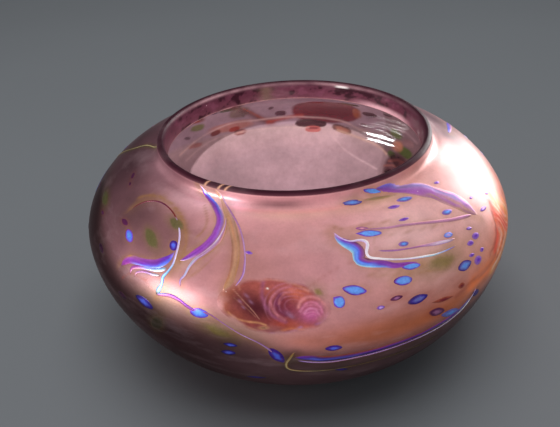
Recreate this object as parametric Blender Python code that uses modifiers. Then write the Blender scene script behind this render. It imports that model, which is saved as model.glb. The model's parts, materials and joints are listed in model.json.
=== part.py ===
"""Art glass bowl: a free-blown, pearly rose vessel with an incurved mouth and a
short collar lip, decorated with hot-applied trails, chips and shell-like prunts
that were rolled flush into its wall.

Metres, +Z up.  The origin is the centre of the foot ring on the plane that the
bowl stands on, and -Y is its front.  Every applied bit of glass lies in its own
shallow seat in the wall, a hair (0.3 mm) clear of it all round.
"""
import math

import bmesh
import bpy
import numpy as np
from mathutils import Vector

MM = 0.001

# ---- driving dimensions (mm) -------------------------------------------------
BELLY_RADIUS = 75.0       # outside, at the girth
GIRTH_HEIGHT = 45.5       # height of the widest circle
BOWL_HEIGHT = 75.5        # foot to top of the lip
NECK_RADIUS = 47.3        # outside of the collar lip
MOUTH_RADIUS = 44.3       # inside of the collar lip
CORNER_HEIGHT = 68.3      # inner corner where the lip meets the shoulder
WALL = 3.2                # blown wall at the girth
FLOOR_HEIGHT = 6.2        # inside floor, thicker than the wall
FOOT_OUTER = 36.5         # flat foot ring
FOOT_INNER = 30.0
PONTIL_RISE = 0.9         # kick of the polished pontil mark
TURN_STEPS = 56           # facets round the vessel

INLAY_TOP = -0.04         # outer face of an inlay under the vessel's surface
INLAY_THICK = 0.70
SEAT_DEPTH = 1.04         # pocket depth: thickness plus the gap under the inlay
SEAT_GAP = 0.30           # gap round the outline
SEAT_RELIEF = 1.0         # how far a seat's cutter stands out of the wall


# ---- the turned profile --------------------------------------------------------
def bezier(a, b, c, d, n):
    t = np.linspace(0.0, 1.0, n)[:, None]
    a, b, c, d = (np.array(p, float) for p in (a, b, c, d))
    return (1 - t) ** 3 * a + 3 * t * (1 - t) ** 2 * b + 3 * t * t * (1 - t) * c + t**3 * d


def outer_wall(n):
    """Outside, foot to neck, as (radius, height)."""
    belly = bezier((37.0, 0.3), (54.0, 0.8), (BELLY_RADIUS, 23.5), (BELLY_RADIUS, GIRTH_HEIGHT), n)
    shoulder = bezier((BELLY_RADIUS, GIRTH_HEIGHT), (BELLY_RADIUS, 60.5), (54.5, 71.3), (49.8, 70.9), n)
    return np.vstack([belly, shoulder[1:]])


def collar(n):
    """Outside of the lip, neck to its top edge."""
    sweep = bezier((49.8, 70.9), (48.3, 70.75), (47.5, 71.5), (NECK_RADIUS, 73.2), n)
    return np.vstack([sweep[1:], [(NECK_RADIUS - 0.05, 74.3), (NECK_RADIUS - 0.5, 75.1)]])


def inner_wall(n):
    """Inside, floor to the inner corner under the lip."""
    side = BELLY_RADIUS - WALL
    bowl = bezier((27.0, FLOOR_HEIGHT), (49.0, FLOOR_HEIGHT + 0.4), (side, 24.5), (side, GIRTH_HEIGHT), n)
    under = bezier((side, GIRTH_HEIGHT), (side, 58.6), (54.0, 68.0), (MOUTH_RADIUS, CORNER_HEIGHT), n)
    return np.vstack([bowl, under[1:]])


def vessel_profile():
    """Axis to axis: across the floor, up the inside, over the lip, down the outside."""
    inside = [(0.0, FLOOR_HEIGHT)] + [tuple(p) for p in inner_wall(8)]
    lip = [(MOUTH_RADIUS + 0.2, 73.4), (MOUTH_RADIUS + 0.7, 74.9), (MOUTH_RADIUS + 1.5, BOWL_HEIGHT)]
    outside = [tuple(p) for p in collar(4)[::-1]] + [tuple(p) for p in outer_wall(10)[::-1]]
    foot = [(FOOT_OUTER, 0.0), (FOOT_INNER, 0.0), (FOOT_INNER - 3.0, PONTIL_RISE), (0.0, PONTIL_RISE)]
    return inside + lip + outside + foot


class Wall:
    """The outside surface as a map: az degrees round from the front (towards +X),
    s mm along the surface up from the girth, lift mm out of the surface."""

    def __init__(self):
        line = np.vstack([outer_wall(200), collar(30)])
        step = np.hypot(*np.diff(line, axis=0).T)
        run = np.concatenate([[0.0], np.cumsum(step)])
        girth = int(np.argmax(line[:, 0]))
        self.s = run - run[girth]
        self.line = line
        slope = np.gradient(line, self.s, axis=0)
        self.normal = np.stack([slope[:, 1], -slope[:, 0]], 1)
        self.normal /= np.hypot(*self.normal.T)[:, None]

    def at(self, az, s, lift):
        r, z = (np.interp(s, self.s, self.line[:, k]) for k in (0, 1))
        nr, nz = (np.interp(s, self.s, self.normal[:, k]) for k in (0, 1))
        r, z = r + lift * nr, z + lift * nz
        a = math.radians(az)
        return Vector((r * math.sin(a), -r * math.cos(a), z)) * MM

    def radius(self, s):
        return float(np.interp(s, self.s, self.line[:, 0]))


WALL_MAP = Wall()


# ---- scene helpers ---------------------------------------------------------------
def clear_scene():
    for obj in list(bpy.data.objects):
        bpy.data.objects.remove(obj, do_unlink=True)


def new_collection(name):
    made = bpy.data.collections.new(name)
    bpy.context.scene.collection.children.link(made)
    return made


def glass(name, colour, roughness=0.1, transmission=0.0, metallic=0.0):
    made = bpy.data.materials.get(name)
    if made:
        return made
    made = bpy.data.materials.new(name)
    made.use_nodes = True
    shader = made.node_tree.nodes["Principled BSDF"]
    shader.inputs["Base Color"].default_value = (*colour, 1.0)
    shader.inputs["Roughness"].default_value = roughness
    shader.inputs["Metallic"].default_value = metallic
    shader.inputs["Transmission Weight"].default_value = transmission
    shader.inputs["IOR"].default_value = 1.52
    made.diffuse_color = (*colour, 1.0)
    return made


def mesh_object(name, bm, material, where):
    mesh = bpy.data.meshes.new(name)
    bm.to_mesh(mesh)
    bm.free()
    obj = bpy.data.objects.new(name, mesh)
    if material:
        mesh.materials.append(material)
    where.objects.link(obj)
    return obj


def smooth(obj, degrees=40.0):
    obj.data.shade_smooth()
    obj.data.set_sharp_from_angle(angle=math.radians(degrees))


# ---- applied glass: an outline laid on the wall, then given thickness inwards -------
def thicken(obj, depth):
    shell = obj.modifiers.new("thickness", "SOLIDIFY")
    shell.thickness = depth * MM
    shell.offset = -1.0
    shell.use_even_offset = False
    shell.use_rim = True


def face_outwards(bm):
    """A sheet's faces all look away from the axis at girth height."""
    bm.normal_update()
    centre = Vector((0.0, 0.0, 0.02))
    total = sum(f.normal.dot(f.calc_center_median() - centre) for f in bm.faces)
    if total < 0:
        bmesh.ops.reverse_faces(bm, faces=bm.faces)


def patch_sheet(place, lift, grow, rings):
    """An oval lying on the wall: (az, s, length, width, tilt degrees)."""
    az0, s0, length, width, tilt = place
    bm = bmesh.new()
    if rings:
        across = max(2, int(round(rings * width / length)))
        bmesh.ops.create_grid(bm, x_segments=rings, y_segments=across, size=1.0)
        for v in bm.verts:  # square grid pressed into a disc
            x, y = v.co.x, v.co.y
            v.co.x, v.co.y = x * math.sqrt(1 - 0.5 * y * y), y * math.sqrt(1 - 0.5 * x * x)
    else:
        bmesh.ops.create_circle(bm, cap_ends=True, cap_tris=True, segments=12, radius=1.0)
    turn = math.radians(tilt)
    radius = WALL_MAP.radius(s0)
    for v in bm.verts:
        u, w = v.co.x * (length / 2 + grow), v.co.y * (width / 2 + grow)
        x = u * math.cos(turn) - w * math.sin(turn)
        y = u * math.sin(turn) + w * math.cos(turn)
        v.co = WALL_MAP.at(az0 + math.degrees(x / radius), s0 + y, lift)
    face_outwards(bm)
    return bm


def smooth_route(points, per_span):
    """Catmull-Rom through the way points."""
    p = np.array(points, float)
    p = np.vstack([2 * p[0] - p[1], p, 2 * p[-1] - p[-2]])
    out = []
    for i in range(1, len(p) - 2):
        for k in range(per_span):
            t = k / per_span
            out.append(
                0.5 * (2 * p[i] + (p[i + 1] - p[i - 1]) * t
                       + (2 * p[i - 1] - 5 * p[i] + 4 * p[i + 1] - p[i + 2]) * t * t
                       + (3 * p[i] - p[i - 1] - 3 * p[i + 1] + p[i + 2]) * t**3)
            )
    out.append(p[-2])
    return np.array(out)


def even_route(points, step):
    """The smooth route in points about `step` mm apart, as (az, s)."""
    fine = smooth_route(points, 16)
    mean = math.radians(1.0) * np.array([WALL_MAP.radius(s) for s in fine[:, 1]])
    move = np.diff(fine, axis=0)
    run = np.concatenate([[0.0], np.cumsum(np.hypot(move[:, 0] * 0.5 * (mean[1:] + mean[:-1]), move[:, 1]))])
    count = max(3, int(round(run[-1] / step)))
    at = np.linspace(0.0, run[-1], count + 1)
    return np.stack([np.interp(at, run, fine[:, k]) for k in (0, 1)], 1), run[-1]


def trail_sheet(route, width, lift, grow, step):
    """A ribbon of glass drawn along a route, with both ends narrowed."""
    path, length = even_route(route, step)
    n = len(path)
    scale = np.array([math.radians(1.0) * WALL_MAP.radius(s) for s in path[:, 1]])
    flat = np.stack([path[:, 0] * scale.mean(), path[:, 1]], 1)
    tangent = np.gradient(flat, axis=0)
    tangent /= np.hypot(*tangent.T)[:, None]
    bm = bmesh.new()
    bmesh.ops.create_grid(bm, x_segments=n - 1, y_segments=1, size=1.0)
    for v in bm.verts:
        i = int(round((v.co.x + 1) / 2 * (n - 1)))
        side = 1.0 if v.co.y > 0 else -1.0
        near_end = min(i, n - 1 - i)
        half = 0.5 * width * (0.5 if near_end == 0 else 1.0) + grow
        reach = grow * (1 if i == n - 1 else -1 if i == 0 else 0)
        x = -tangent[i, 1] * half * side + tangent[i, 0] * reach
        y = tangent[i, 0] * half * side + tangent[i, 1] * reach
        v.co = WALL_MAP.at(path[i, 0] + x / scale[i], path[i, 1] + y, lift)
    face_outwards(bm)
    return bm


# ---- the vessel ---------------------------------------------------------------------
def make_vessel(where, seats):
    bm = bmesh.new()
    verts = [bm.verts.new((r * MM, 0.0, z * MM)) for r, z in vessel_profile()]
    for a, b in zip(verts, verts[1:]):
        bm.edges.new((a, b))
    body = mesh_object("bowl_body", bm, glass("rose_lustre_glass", (0.43, 0.22, 0.24), 0.14, 0.15, 0.35), where)
    turn = body.modifiers.new("turned", "SCREW")
    turn.axis = "Z"
    turn.angle = 2 * math.pi
    turn.steps = turn.render_steps = TURN_STEPS
    turn.use_merge_vertices = True
    turn.merge_threshold = 0.00001
    turn.use_smooth_shade = True
    cut = body.modifiers.new("seats", "BOOLEAN")
    cut.operation = "DIFFERENCE"
    cut.operand_type = "COLLECTION"
    cut.collection = seats
    cut.solver = "EXACT"
    return body


# ---- applied pieces -------------------------------------------------------------------
# Trails: name, material, width, way points (az, s).
TRAILS = [
    # the long hooked trail that drops from the lip on the left of the front
    ("hook_trail", "violet", 1.9, [(-24.3, 34.0), (-22.9, 32.2), (-22.6, 29), (-23.2, 26), (-24.8, 23.2), (-26.6, 21), (-27.8, 19.8)]),
    ("amber_trail", "amber", 2.0, [(-20.2, 33.9), (-17.5, 29.8), (-16, 26.2), (-15.3, 22.6), (-15.2, 19.4), (-15.4, 17)]),
    ("hook_ribbon", "lilac", 0.8, [(-20.4, 29.6), (-20.3, 28), (-21.1, 25.2), (-22.6, 22.4), (-24.5, 19.6), (-25.5, 17.2)]),
    # the thin arc and the waves it falls into
    ("arc_trail", "white", 1.0, [(-54.2, 25), (-53.4, 27.2), (-51.4, 29.6), (-48.4, 31.3), (-44.4, 31.8), (-40, 31), (-36.3, 29.2), (-33.9, 27),
                                 (-32.3, 24.6), (-31.4, 21.8), (-31, 19.2), (-30.9, 16.8), (-31.5, 14.4), (-32.2, 12.6), (-32.3, 10.4)]),
    ("wave_trail", "violet", 1.4, [(-44.5, 12.3), (-41.2, 13.8), (-38, 14.8), (-35.4, 15.9), (-33.7, 17.4), (-33.1, 18.6)]),
    ("wave_ribbon", "lilac", 1.0, [(-42.4, 9.4), (-41, 11.0), (-39, 12.0), (-36.6, 12.6), (-34.4, 13.3)]),
    ("pink_thread", "pink", 1.0, [(-32.8, 7.2), (-30.8, 7.8), (-28.6, 7.4), (-26.6, 5.6), (-24.4, 3.7), (-21.8, 3.0), (-19.4, 3.7), (-17.2, 4.3),
                                  (-15.4, 3.9), (-13, 2), (-10, 0.2), (-8.4, -1.2)]),
    # three trails low on the front, right of the centre
    ("base_trail", "indigo", 1.8, [(-0.8, -6.4), (3, -7.2), (9, -7.8), (14, -7.7), (19, -7.6), (24, -7.4), (29, -7.2), (33, -7.1)]),
    ("base_thread", "white", 0.9, [(0.4, -8.9), (3, -10), (7.4, -10.4), (12.5, -10.1), (18, -10), (23, -9.7), (28.5, -9.5), (34, -9.2), (38.6, -8.2)]),
    ("curl_thread", "olive", 1.0, [(-3.3, -11.2), (-2.8, -12.7), (-0.7, -13.9), (4.6, -14.5), (10.7, -14.2), (16.3, -14), (22, -13.7), (28, -13.9), (35, -14)]),
    # shoulder, right of the front
    ("shoulder_trail", "violet", 2.4, [(44.8, 33.6), (46.8, 31.6), (49.2, 28.8), (51.2, 26), (52.2, 23.4), (52.8, 20.8), (53.8, 18.8)]),
    ("lilac_thread", "lilac", 0.9, [(50, 20.1), (48.5, 20.7), (44.9, 21.9), (40, 23.8), (35.2, 25.5), (30.3, 26.9), (25.8, 27.8)]),
    ("zigzag_trail", "white", 1.8, [(10.4, 28.6), (11.8, 26.7), (14, 25), (15, 23.4), (14.7, 21.2), (16.2, 19.9), (18.4, 19), (20.6, 18.2), (22, 17.7)]),
    ("fine_thread", "lilac", 0.8, [(19.8, 22.4), (23.3, 21.4), (26.9, 20.6), (31.4, 19.7), (36, 18.5), (39.5, 17.5)]),
    # thread that drops from the lip at the far left
    ("rim_thread", "cream", 1.1, [(-89.3, 33.9), (-90.6, 31), (-94.5, 24.8), (-99, 18.4), (-102.6, 12.8)]),
    # round the back
    ("back_brown_trail", "brown", 1.4, [(-161.4, 7), (-165.4, 4.8), (-169, 2.4), (-173.4, -0.6)]),
    ("back_red_streak", "red", 1.6, [(-134, 4.3), (-137, 6.4), (-141, 8.2), (-145.4, 10.2)]),
    ("back_shoulder_trail", "violet", 2.0, [(94, 32), (98, 30.4), (105, 26.6), (111, 21.6), (115.5, 16), (117.6, 12)]),
]

# Chips and patches: name, material, (az, s, length, width, tilt).
CHIPS = [
    # left of the front
    ("plum_chip_1", "plum", (-53.2, 20.4, 4.6, 1.8, 0)),
    ("blue_chip_1", "blue", (-48.4, 18.2, 5.6, 2.9, -19)),
    ("blue_chip_2", "blue", (-34.1, 22.0, 3.4, 2.5, -31)),
    ("plum_chip_2", "plum", (-57.5, 8.2, 5.2, 2.4, -10)),
    ("violet_chip_1", "violet", (-21.8, 5.9, 6.0, 2.8, 5)),
    ("navy_chip_1", "navy", (-36.9, 2.8, 8.0, 3.3, -9)),
    ("navy_chip_2", "navy", (-15, -3.2, 4.6, 1.8, 0)),
    ("navy_chip_3", "navy", (-15.8, -6.8, 5.1, 2.6, 9)),
    ("navy_chip_4", "navy", (-45.4, -0.4, 5.1, 2.8, 3)),
    ("navy_chip_5", "navy", (-11.2, -21.4, 7.6, 2.2, 12)),
    ("violet_chip_2", "violet", (-5.6, -5.8, 7.2, 3.2, -62)),
    # right of the front
    ("blue_chip_3", "blue", (20, 33, 6.2, 2.1, -8)),
    ("violet_chip_3", "violet", (36, 32.5, 5.6, 1.9, -11)),
    ("violet_chip_4", "violet", (45.2, 24.5, 4.5, 1.9, -12)),
    ("mauve_chip_1", "mauve", (58.4, 17.4, 5.5, 1.5, -11)),
    ("violet_chip_5", "violet", (48.9, 13.8, 4.1, 2.2, -9)),
    ("blue_chip_4", "blue", (19.4, 27.8, 7.0, 1.9, -12)),
    ("violet_chip_6", "violet", (27.2, 22.8, 3.7, 1.6, -8)),
    ("blue_chip_5", "blue", (26.7, 15.6, 6.0, 2.0, -10)),
    ("blue_chip_6", "blue", (23.6, 12.5, 6.0, 2.6, -7)),
    ("blue_chip_7", "blue", (12.2, 13.2, 7.0, 2.8, -14)),
    ("navy_chip_6", "navy", (26.2, 6.3, 7.4, 2.7, 2)),
    ("plum_chip_3", "plum", (30.9, -0.5, 7.2, 3.0, -20)),
    ("slate_chip_1", "slate", (36.9, -4.3, 8.2, 2.9, -18)),
    ("violet_chip_7", "violet", (41.1, 8.8, 6.0, 3.1, -4)),
    ("violet_chip_8", "violet", (46.3, 7.5, 4.2, 2.8, -8)),
    ("brown_chip_1", "brown", (32.9, 2.9, 9.0, 1.6, -10)),
    ("indigo_chip_1", "indigo", (6.9, -3.4, 5.2, 2.4, -4)),
    ("navy_chip_7", "navy", (45.3, -3.6, 5.8, 2.9, -31)),
    # green and olive patches
    ("olive_patch_1", "olive", (-70.9, 18.6, 10.6, 3.6, -2)),
    ("olive_patch_2", "olive", (-38.0, 26.9, 5.8, 2.3, -12)),
    ("olive_patch_3", "olive", (-40.6, 20.8, 7.2, 2.2, -16)),
    ("olive_patch_4", "olive", (35.6, 13.9, 9.0, 2.4, 0)),
    ("olive_patch_5", "olive", (-17.4, 0.7, 8.2, 2.6, -16)),
    ("green_patch_1", "green", (-33.7, -4.0, 8.6, 3.6, 51)),
    # round the back
    ("green_patch_2", "green", (-155, 10.3, 7.0, 3.5, 20)),
    ("blue_chip_8", "blue", (151.5, 5.3, 4.4, 3.4, 0)),
    ("navy_chip_8", "navy", (145, 7.6, 3.6, 2.6, 0)),
]

# Shell-like prunts: broad flattened blobs dragged into feathered arcs.
PRUNTS = [
    ("shell_prunt_front", "oxblood", (-5.5, 10, 28.0, 12.6, -4.5)),
    ("shell_prunt_back", "scarlet", (167.2, 5.9, 28.6, 11.2, 1)),
    ("shell_prunt_right", "scarlet", (71, 10.5, 14.6, 12.6, 0)),
]

COLOURS = {
    "violet": (0.09, 0.05, 0.33), "amber": (0.52, 0.24, 0.06), "lilac": (0.50, 0.36, 0.62),
    "white": (0.72, 0.68, 0.74), "pink": (0.66, 0.33, 0.40), "indigo": (0.05, 0.04, 0.22),
    "olive": (0.25, 0.20, 0.06), "cream": (0.62, 0.52, 0.34), "brown": (0.20, 0.07, 0.04),
    "red": (0.45, 0.05, 0.05), "plum": (0.12, 0.03, 0.08), "blue": (0.03, 0.06, 0.42),
    "navy": (0.02, 0.025, 0.14), "mauve": (0.34, 0.17, 0.30), "slate": (0.12, 0.14, 0.26),
    "green": (0.05, 0.09, 0.04), "oxblood": (0.22, 0.04, 0.04), "scarlet": (0.55, 0.07, 0.04),
}


def main():
    clear_scene()
    parts = new_collection("art_glass_bowl")
    seats = new_collection("seat_cutters")
    make_vessel(parts, seats)

    def inlay(name, material, sheet):
        piece = mesh_object(name, sheet(INLAY_TOP, 0.0), glass(material + "_glass", COLOURS[material], 0.1), parts)
        thicken(piece, INLAY_THICK)
        smooth(piece)
        seat = mesh_object(name + "_seat", sheet(SEAT_RELIEF, SEAT_GAP), None, seats)
        thicken(seat, SEAT_RELIEF + SEAT_DEPTH)
        seat.hide_render = True
        seat.display_type = "WIRE"

    for name, material, width, route in TRAILS:
        inlay(name, material, lambda lift, grow: trail_sheet(route, width, lift, grow, 2.6))
    for name, material, place in CHIPS:
        inlay(name, material, lambda lift, grow: patch_sheet(place, lift, grow, 0))
    for name, material, place in PRUNTS:
        inlay(name, material, lambda lift, grow: patch_sheet(place, lift, grow, 8))


main()
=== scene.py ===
"""Looks of the art glass bowl: a fine blown vessel with a pearly rose lustre outside and clear
amethyst glass inside, and every applied trail, chip, patch and prunt as its own fine solid.

Lengths in this file are millimetres until a mesh is made. az is degrees round the bowl from the
front (-Y) towards +X, and s is millimetres along the outside from the girth, up positive.
"""
import json
import math

import bmesh
import bpy
import numpy as np
from mathutils import Matrix, Vector

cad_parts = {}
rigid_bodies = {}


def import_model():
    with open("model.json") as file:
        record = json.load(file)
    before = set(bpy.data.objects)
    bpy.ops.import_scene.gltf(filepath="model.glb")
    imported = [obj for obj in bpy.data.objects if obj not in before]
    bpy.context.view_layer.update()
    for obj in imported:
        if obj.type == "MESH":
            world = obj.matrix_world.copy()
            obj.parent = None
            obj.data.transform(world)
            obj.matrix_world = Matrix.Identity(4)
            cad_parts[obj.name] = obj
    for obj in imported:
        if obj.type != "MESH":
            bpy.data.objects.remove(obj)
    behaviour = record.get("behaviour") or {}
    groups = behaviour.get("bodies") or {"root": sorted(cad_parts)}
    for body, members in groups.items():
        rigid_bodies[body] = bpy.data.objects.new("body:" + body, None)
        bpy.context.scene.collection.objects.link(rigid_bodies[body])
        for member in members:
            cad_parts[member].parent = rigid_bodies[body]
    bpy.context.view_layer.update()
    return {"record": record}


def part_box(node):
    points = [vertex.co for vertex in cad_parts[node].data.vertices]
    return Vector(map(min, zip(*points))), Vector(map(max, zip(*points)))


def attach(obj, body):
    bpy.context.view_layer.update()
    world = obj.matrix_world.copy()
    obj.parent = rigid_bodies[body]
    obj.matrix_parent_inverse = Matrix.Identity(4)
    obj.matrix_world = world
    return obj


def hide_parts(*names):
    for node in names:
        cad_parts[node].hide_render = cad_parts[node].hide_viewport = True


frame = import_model()
LOW, HIGH = (Vector(c) * 1000 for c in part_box("bowl_body"))

# ------------------------------------------------------------------ vessel dimensions, as the CAD
BELLY_RADIUS = 75.0
GIRTH_HEIGHT = 45.5
BOWL_HEIGHT = HIGH.z
NECK_RADIUS = 47.3
MOUTH_RADIUS = 44.3
CORNER_HEIGHT = 68.3
WALL = 3.2
FLOOR_HEIGHT = 6.2
FOOT_OUTER = 36.5
FOOT_INNER = 30.0
PONTIL_RISE = 0.9


# ------------------------------------------------------------------ small numeric tools
def bezier(a, b, c, d, n):
    t = np.linspace(0.0, 1.0, n)[:, None]
    a, b, c, d = (np.array(p, float) for p in (a, b, c, d))
    return (1 - t) ** 3 * a + 3 * t * (1 - t) ** 2 * b + 3 * t * t * (1 - t) * c + t**3 * d


def resample(line, count):
    run = np.concatenate([[0.0], np.cumsum(np.hypot(*np.diff(line, axis=0).T))])
    at = np.linspace(0.0, run[-1], count)
    return np.stack([np.interp(at, run, line[:, k]) for k in (0, 1)], 1)


def ramp(x, lo, hi):
    t = np.clip((np.asarray(x, float) - lo) / (hi - lo), 0.0, 1.0)
    return t * t * (3 - 2 * t)


def mix(a, b, t):
    t = np.asarray(t)[..., None]
    return a * (1 - t) + b * t


def rgb(r, g, b):
    """0-255 display colour to linear light."""
    c = np.array([r, g, b], float) / 255.0
    return np.where(c <= 0.04045, c / 12.92, ((c + 0.055) / 1.055) ** 2.4)


def lattice(ix, iy, seed):
    """A steady pseudo-random number in 0..1 for each lattice point."""
    h = (ix.astype(np.int64) * 374761393 + iy.astype(np.int64) * 668265263 + seed * 974634777) & 0xFFFFFFFF
    h = ((h ^ (h >> 13)) * 1274126177) & 0xFFFFFFFF
    return ((h ^ (h >> 16)) & 0xFFFF) / 65535.0


def noise(x, y, seed, period=None):
    """Smooth value noise; period wraps x after that many cells."""
    x, y = np.broadcast_arrays(np.asarray(x, float), np.asarray(y, float))
    ix, iy = np.floor(x), np.floor(y)
    fx, fy = x - ix, y - iy
    fx, fy = fx * fx * (3 - 2 * fx), fy * fy * (3 - 2 * fy)
    wrap = (lambda i: np.mod(i, period)) if period else (lambda i: i)
    a, b = lattice(wrap(ix), iy, seed), lattice(wrap(ix + 1), iy, seed)
    c, d = lattice(wrap(ix), iy + 1, seed), lattice(wrap(ix + 1), iy + 1, seed)
    return (a * (1 - fx) + b * fx) * (1 - fy) + (c * (1 - fx) + d * fx) * fy


def cloud(az, s, cell_az, cell_s, seed, octaves=4):
    """Layered noise over the wall, -1..1. cell_az is in degrees and divides 360."""
    total, weight, out = 0.0, 1.0, 0.0
    for k in range(octaves):
        cells = int(round(360.0 / cell_az)) * 2**k
        out = out + weight * (noise(np.asarray(az) / 360.0 * cells, np.asarray(s) / cell_s * 2**k, seed + k, cells) * 2 - 1)
        total += weight
        weight *= 0.55
    return out / total


def wrapped(az, centre):
    return (np.asarray(az) - centre + 180.0) % 360.0 - 180.0


# ------------------------------------------------------------------ the outside wall as a map
def outer_line():
    belly = bezier((37.0, 0.3), (54.0, 0.8), (BELLY_RADIUS, 23.5), (BELLY_RADIUS, GIRTH_HEIGHT), 220)
    shoulder = bezier((BELLY_RADIUS, GIRTH_HEIGHT), (BELLY_RADIUS, 60.5), (54.5, 71.3), (49.8, 70.9), 220)
    sweep = bezier((49.8, 70.9), (48.3, 70.75), (47.5, 71.5), (NECK_RADIUS, 73.2), 40)
    return np.vstack([belly, shoulder[1:], sweep[1:], [(NECK_RADIUS - 0.05, 74.3)]])


OUTER = outer_line()
RUN = np.concatenate([[0.0], np.cumsum(np.hypot(*np.diff(OUTER, axis=0).T))])
RUN = RUN - RUN[int(np.argmax(OUTER[:, 0]))]
SLOPE = np.gradient(OUTER, RUN, axis=0)
NORMAL = np.stack([SLOPE[:, 1], -SLOPE[:, 0]], 1)
NORMAL /= np.hypot(*NORMAL.T)[:, None]
S_FOOT, S_LIP = RUN[0], RUN[-1]


def radius_at(s):
    return np.interp(s, RUN, OUTER[:, 0])


def on_wall(az, s, lift):
    """Points of the outside wall in millimetres, lifted along its normal."""
    s = np.asarray(s, float)
    r, z = np.interp(s, RUN, OUTER[:, 0]), np.interp(s, RUN, OUTER[:, 1])
    nr, nz = np.interp(s, RUN, NORMAL[:, 0]), np.interp(s, RUN, NORMAL[:, 1])
    r, z = r + lift * nr, z + lift * nz
    a = np.radians(az)
    return np.stack([r * np.sin(a), -r * np.cos(a), z + 0 * a], -1)


# ------------------------------------------------------------------ the ground colour of the lustre
ROSE = rgb(188, 131, 136)
PEACH = rgb(193, 136, 127)
MAUVE = rgb(118, 80, 88)
PLUM = rgb(94, 63, 72)
# the next two colours are painted shade of the underside, for the dark surroundings it reflects
DUSK_SHADE = rgb(80, 54, 54)
UNDER_SHADE = rgb(70, 47, 50)
AMBER = rgb(206, 116, 58)
OCHRE = rgb(168, 118, 66)
KHAKI = rgb(150, 132, 102)
SCARLET = rgb(200, 70, 38)
CREAM = rgb(236, 214, 196)
BACK_MAUVE = rgb(150, 112, 124)

# Broad washes laid over the ground, some of them painted highlights, shade and reflections: az, s, reach round, reach
# up, colour, strength.
WASHES = [
    (-50, 25, 12, 8, rgb(86, 58, 62), 0.8),        # the darker dome inside the arc trail
    (-32, 5, 8, 4, KHAKI, 0.5),                   # grey-olive belly, lower left
    (-14, 2, 9, 5, rgb(140, 116, 88), 0.55),
    (30, -1, 26, 4.5, rgb(184, 98, 52), 0.92),      # amber stain low on the right
    (50, 2, 13, 6, rgb(196, 112, 78), 0.7),
    (17, 0, 12, 4.5, rgb(164, 92, 68), 0.82),
    (30, 9, 18, 5, rgb(186, 128, 110), 0.5),
    (64, 8, 12, 8, rgb(236, 142, 96), 0.7),
    (76, 12, 9, 10, rgb(224, 110, 60), 0.6),
    (64, 10.5, 6.5, 7, rgb(250, 124, 90), 0.85),
    (70, 39.5, 7, 4, rgb(250, 224, 222), 0.85),     # painted highlight on the neck beside the right highlight
    (-65, 41, 9, 4, rgb(176, 128, 138), 0.75),
    (60, 3, 9, 4, rgb(222, 120, 66), 0.7),
    (105, 35, 19, 9, rgb(80, 54, 68), 0.95),       # painted shade: dark shoulder behind the right highlight, for the dark surroundings it reflects
    # painted shade that dims the right highlight on the upper shoulder
    (90, 33.5, 7, 5.5, rgb(70, 42, 54), 0.9),
    (104, 21, 12, 4, rgb(96, 40, 52), 0.7),
    (26, 37, 14, 2.4, rgb(186, 146, 112), 0.5),     # tea colour under the lip, right
    (34, 15, 14, 3.2, rgb(182, 138, 92), 0.55),     # olive-gold under the zigzag
    (32, 25, 14, 9, rgb(240, 192, 192), 0.75),
    (50, 24, 12, 12, rgb(206, 154, 152), 0.5),
    # painted highlight: paler ground round the right highlight
    (64, 20, 12, 12, rgb(236, 196, 196), 0.6),
    (-4, 37, 16, 2.2, rgb(206, 166, 142), 0.4),
    (-36, 36, 12, 4, rgb(206, 158, 166), 0.6),      # lighter shoulder left of the front
    # painted highlight: pale pink light on the shoulder left of the front, by the lip
    (-25, 39.0, 8, 2.6, rgb(244, 190, 212), 0.75),
    (-6, 41.0, 10, 1.4, rgb(104, 68, 73), 0.9),     # painted reflection: a dark mauve smudge on the front neck
    (-22, 30, 10, 7, rgb(176, 122, 124), 0.5),
    (2, 30, 16, 6, rgb(184, 132, 130), 0.5),
    (-12, 19, 9, 6, rgb(160, 108, 104), 0.7),
    (-38, 22, 10, 8, rgb(110, 74, 76), 0.6),
    (150, 8, 22, 14, rgb(168, 116, 112), 0.5),
    (-120, 12, 26, 14, rgb(150, 112, 116), 0.5),
    (115, -4, 24, 6, AMBER, 0.5),
    (-160, -6, 30, 6, rgb(180, 112, 74), 0.5),
]


# where the painted shade of the underside begins, in s, at each az round the bowl
SHADE_AZ = [-180, -140, -112, -98, -75, -60, -45, -30, -15, 0, 15, 45, 60, 100, 140, 180]
SHADE_S = [-5, -4, 5, 18, 22, 13, 6.0, 2.4, 2.2, -4.2, -6.2, -6.4, -7, -6.5, -5, -5]


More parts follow.
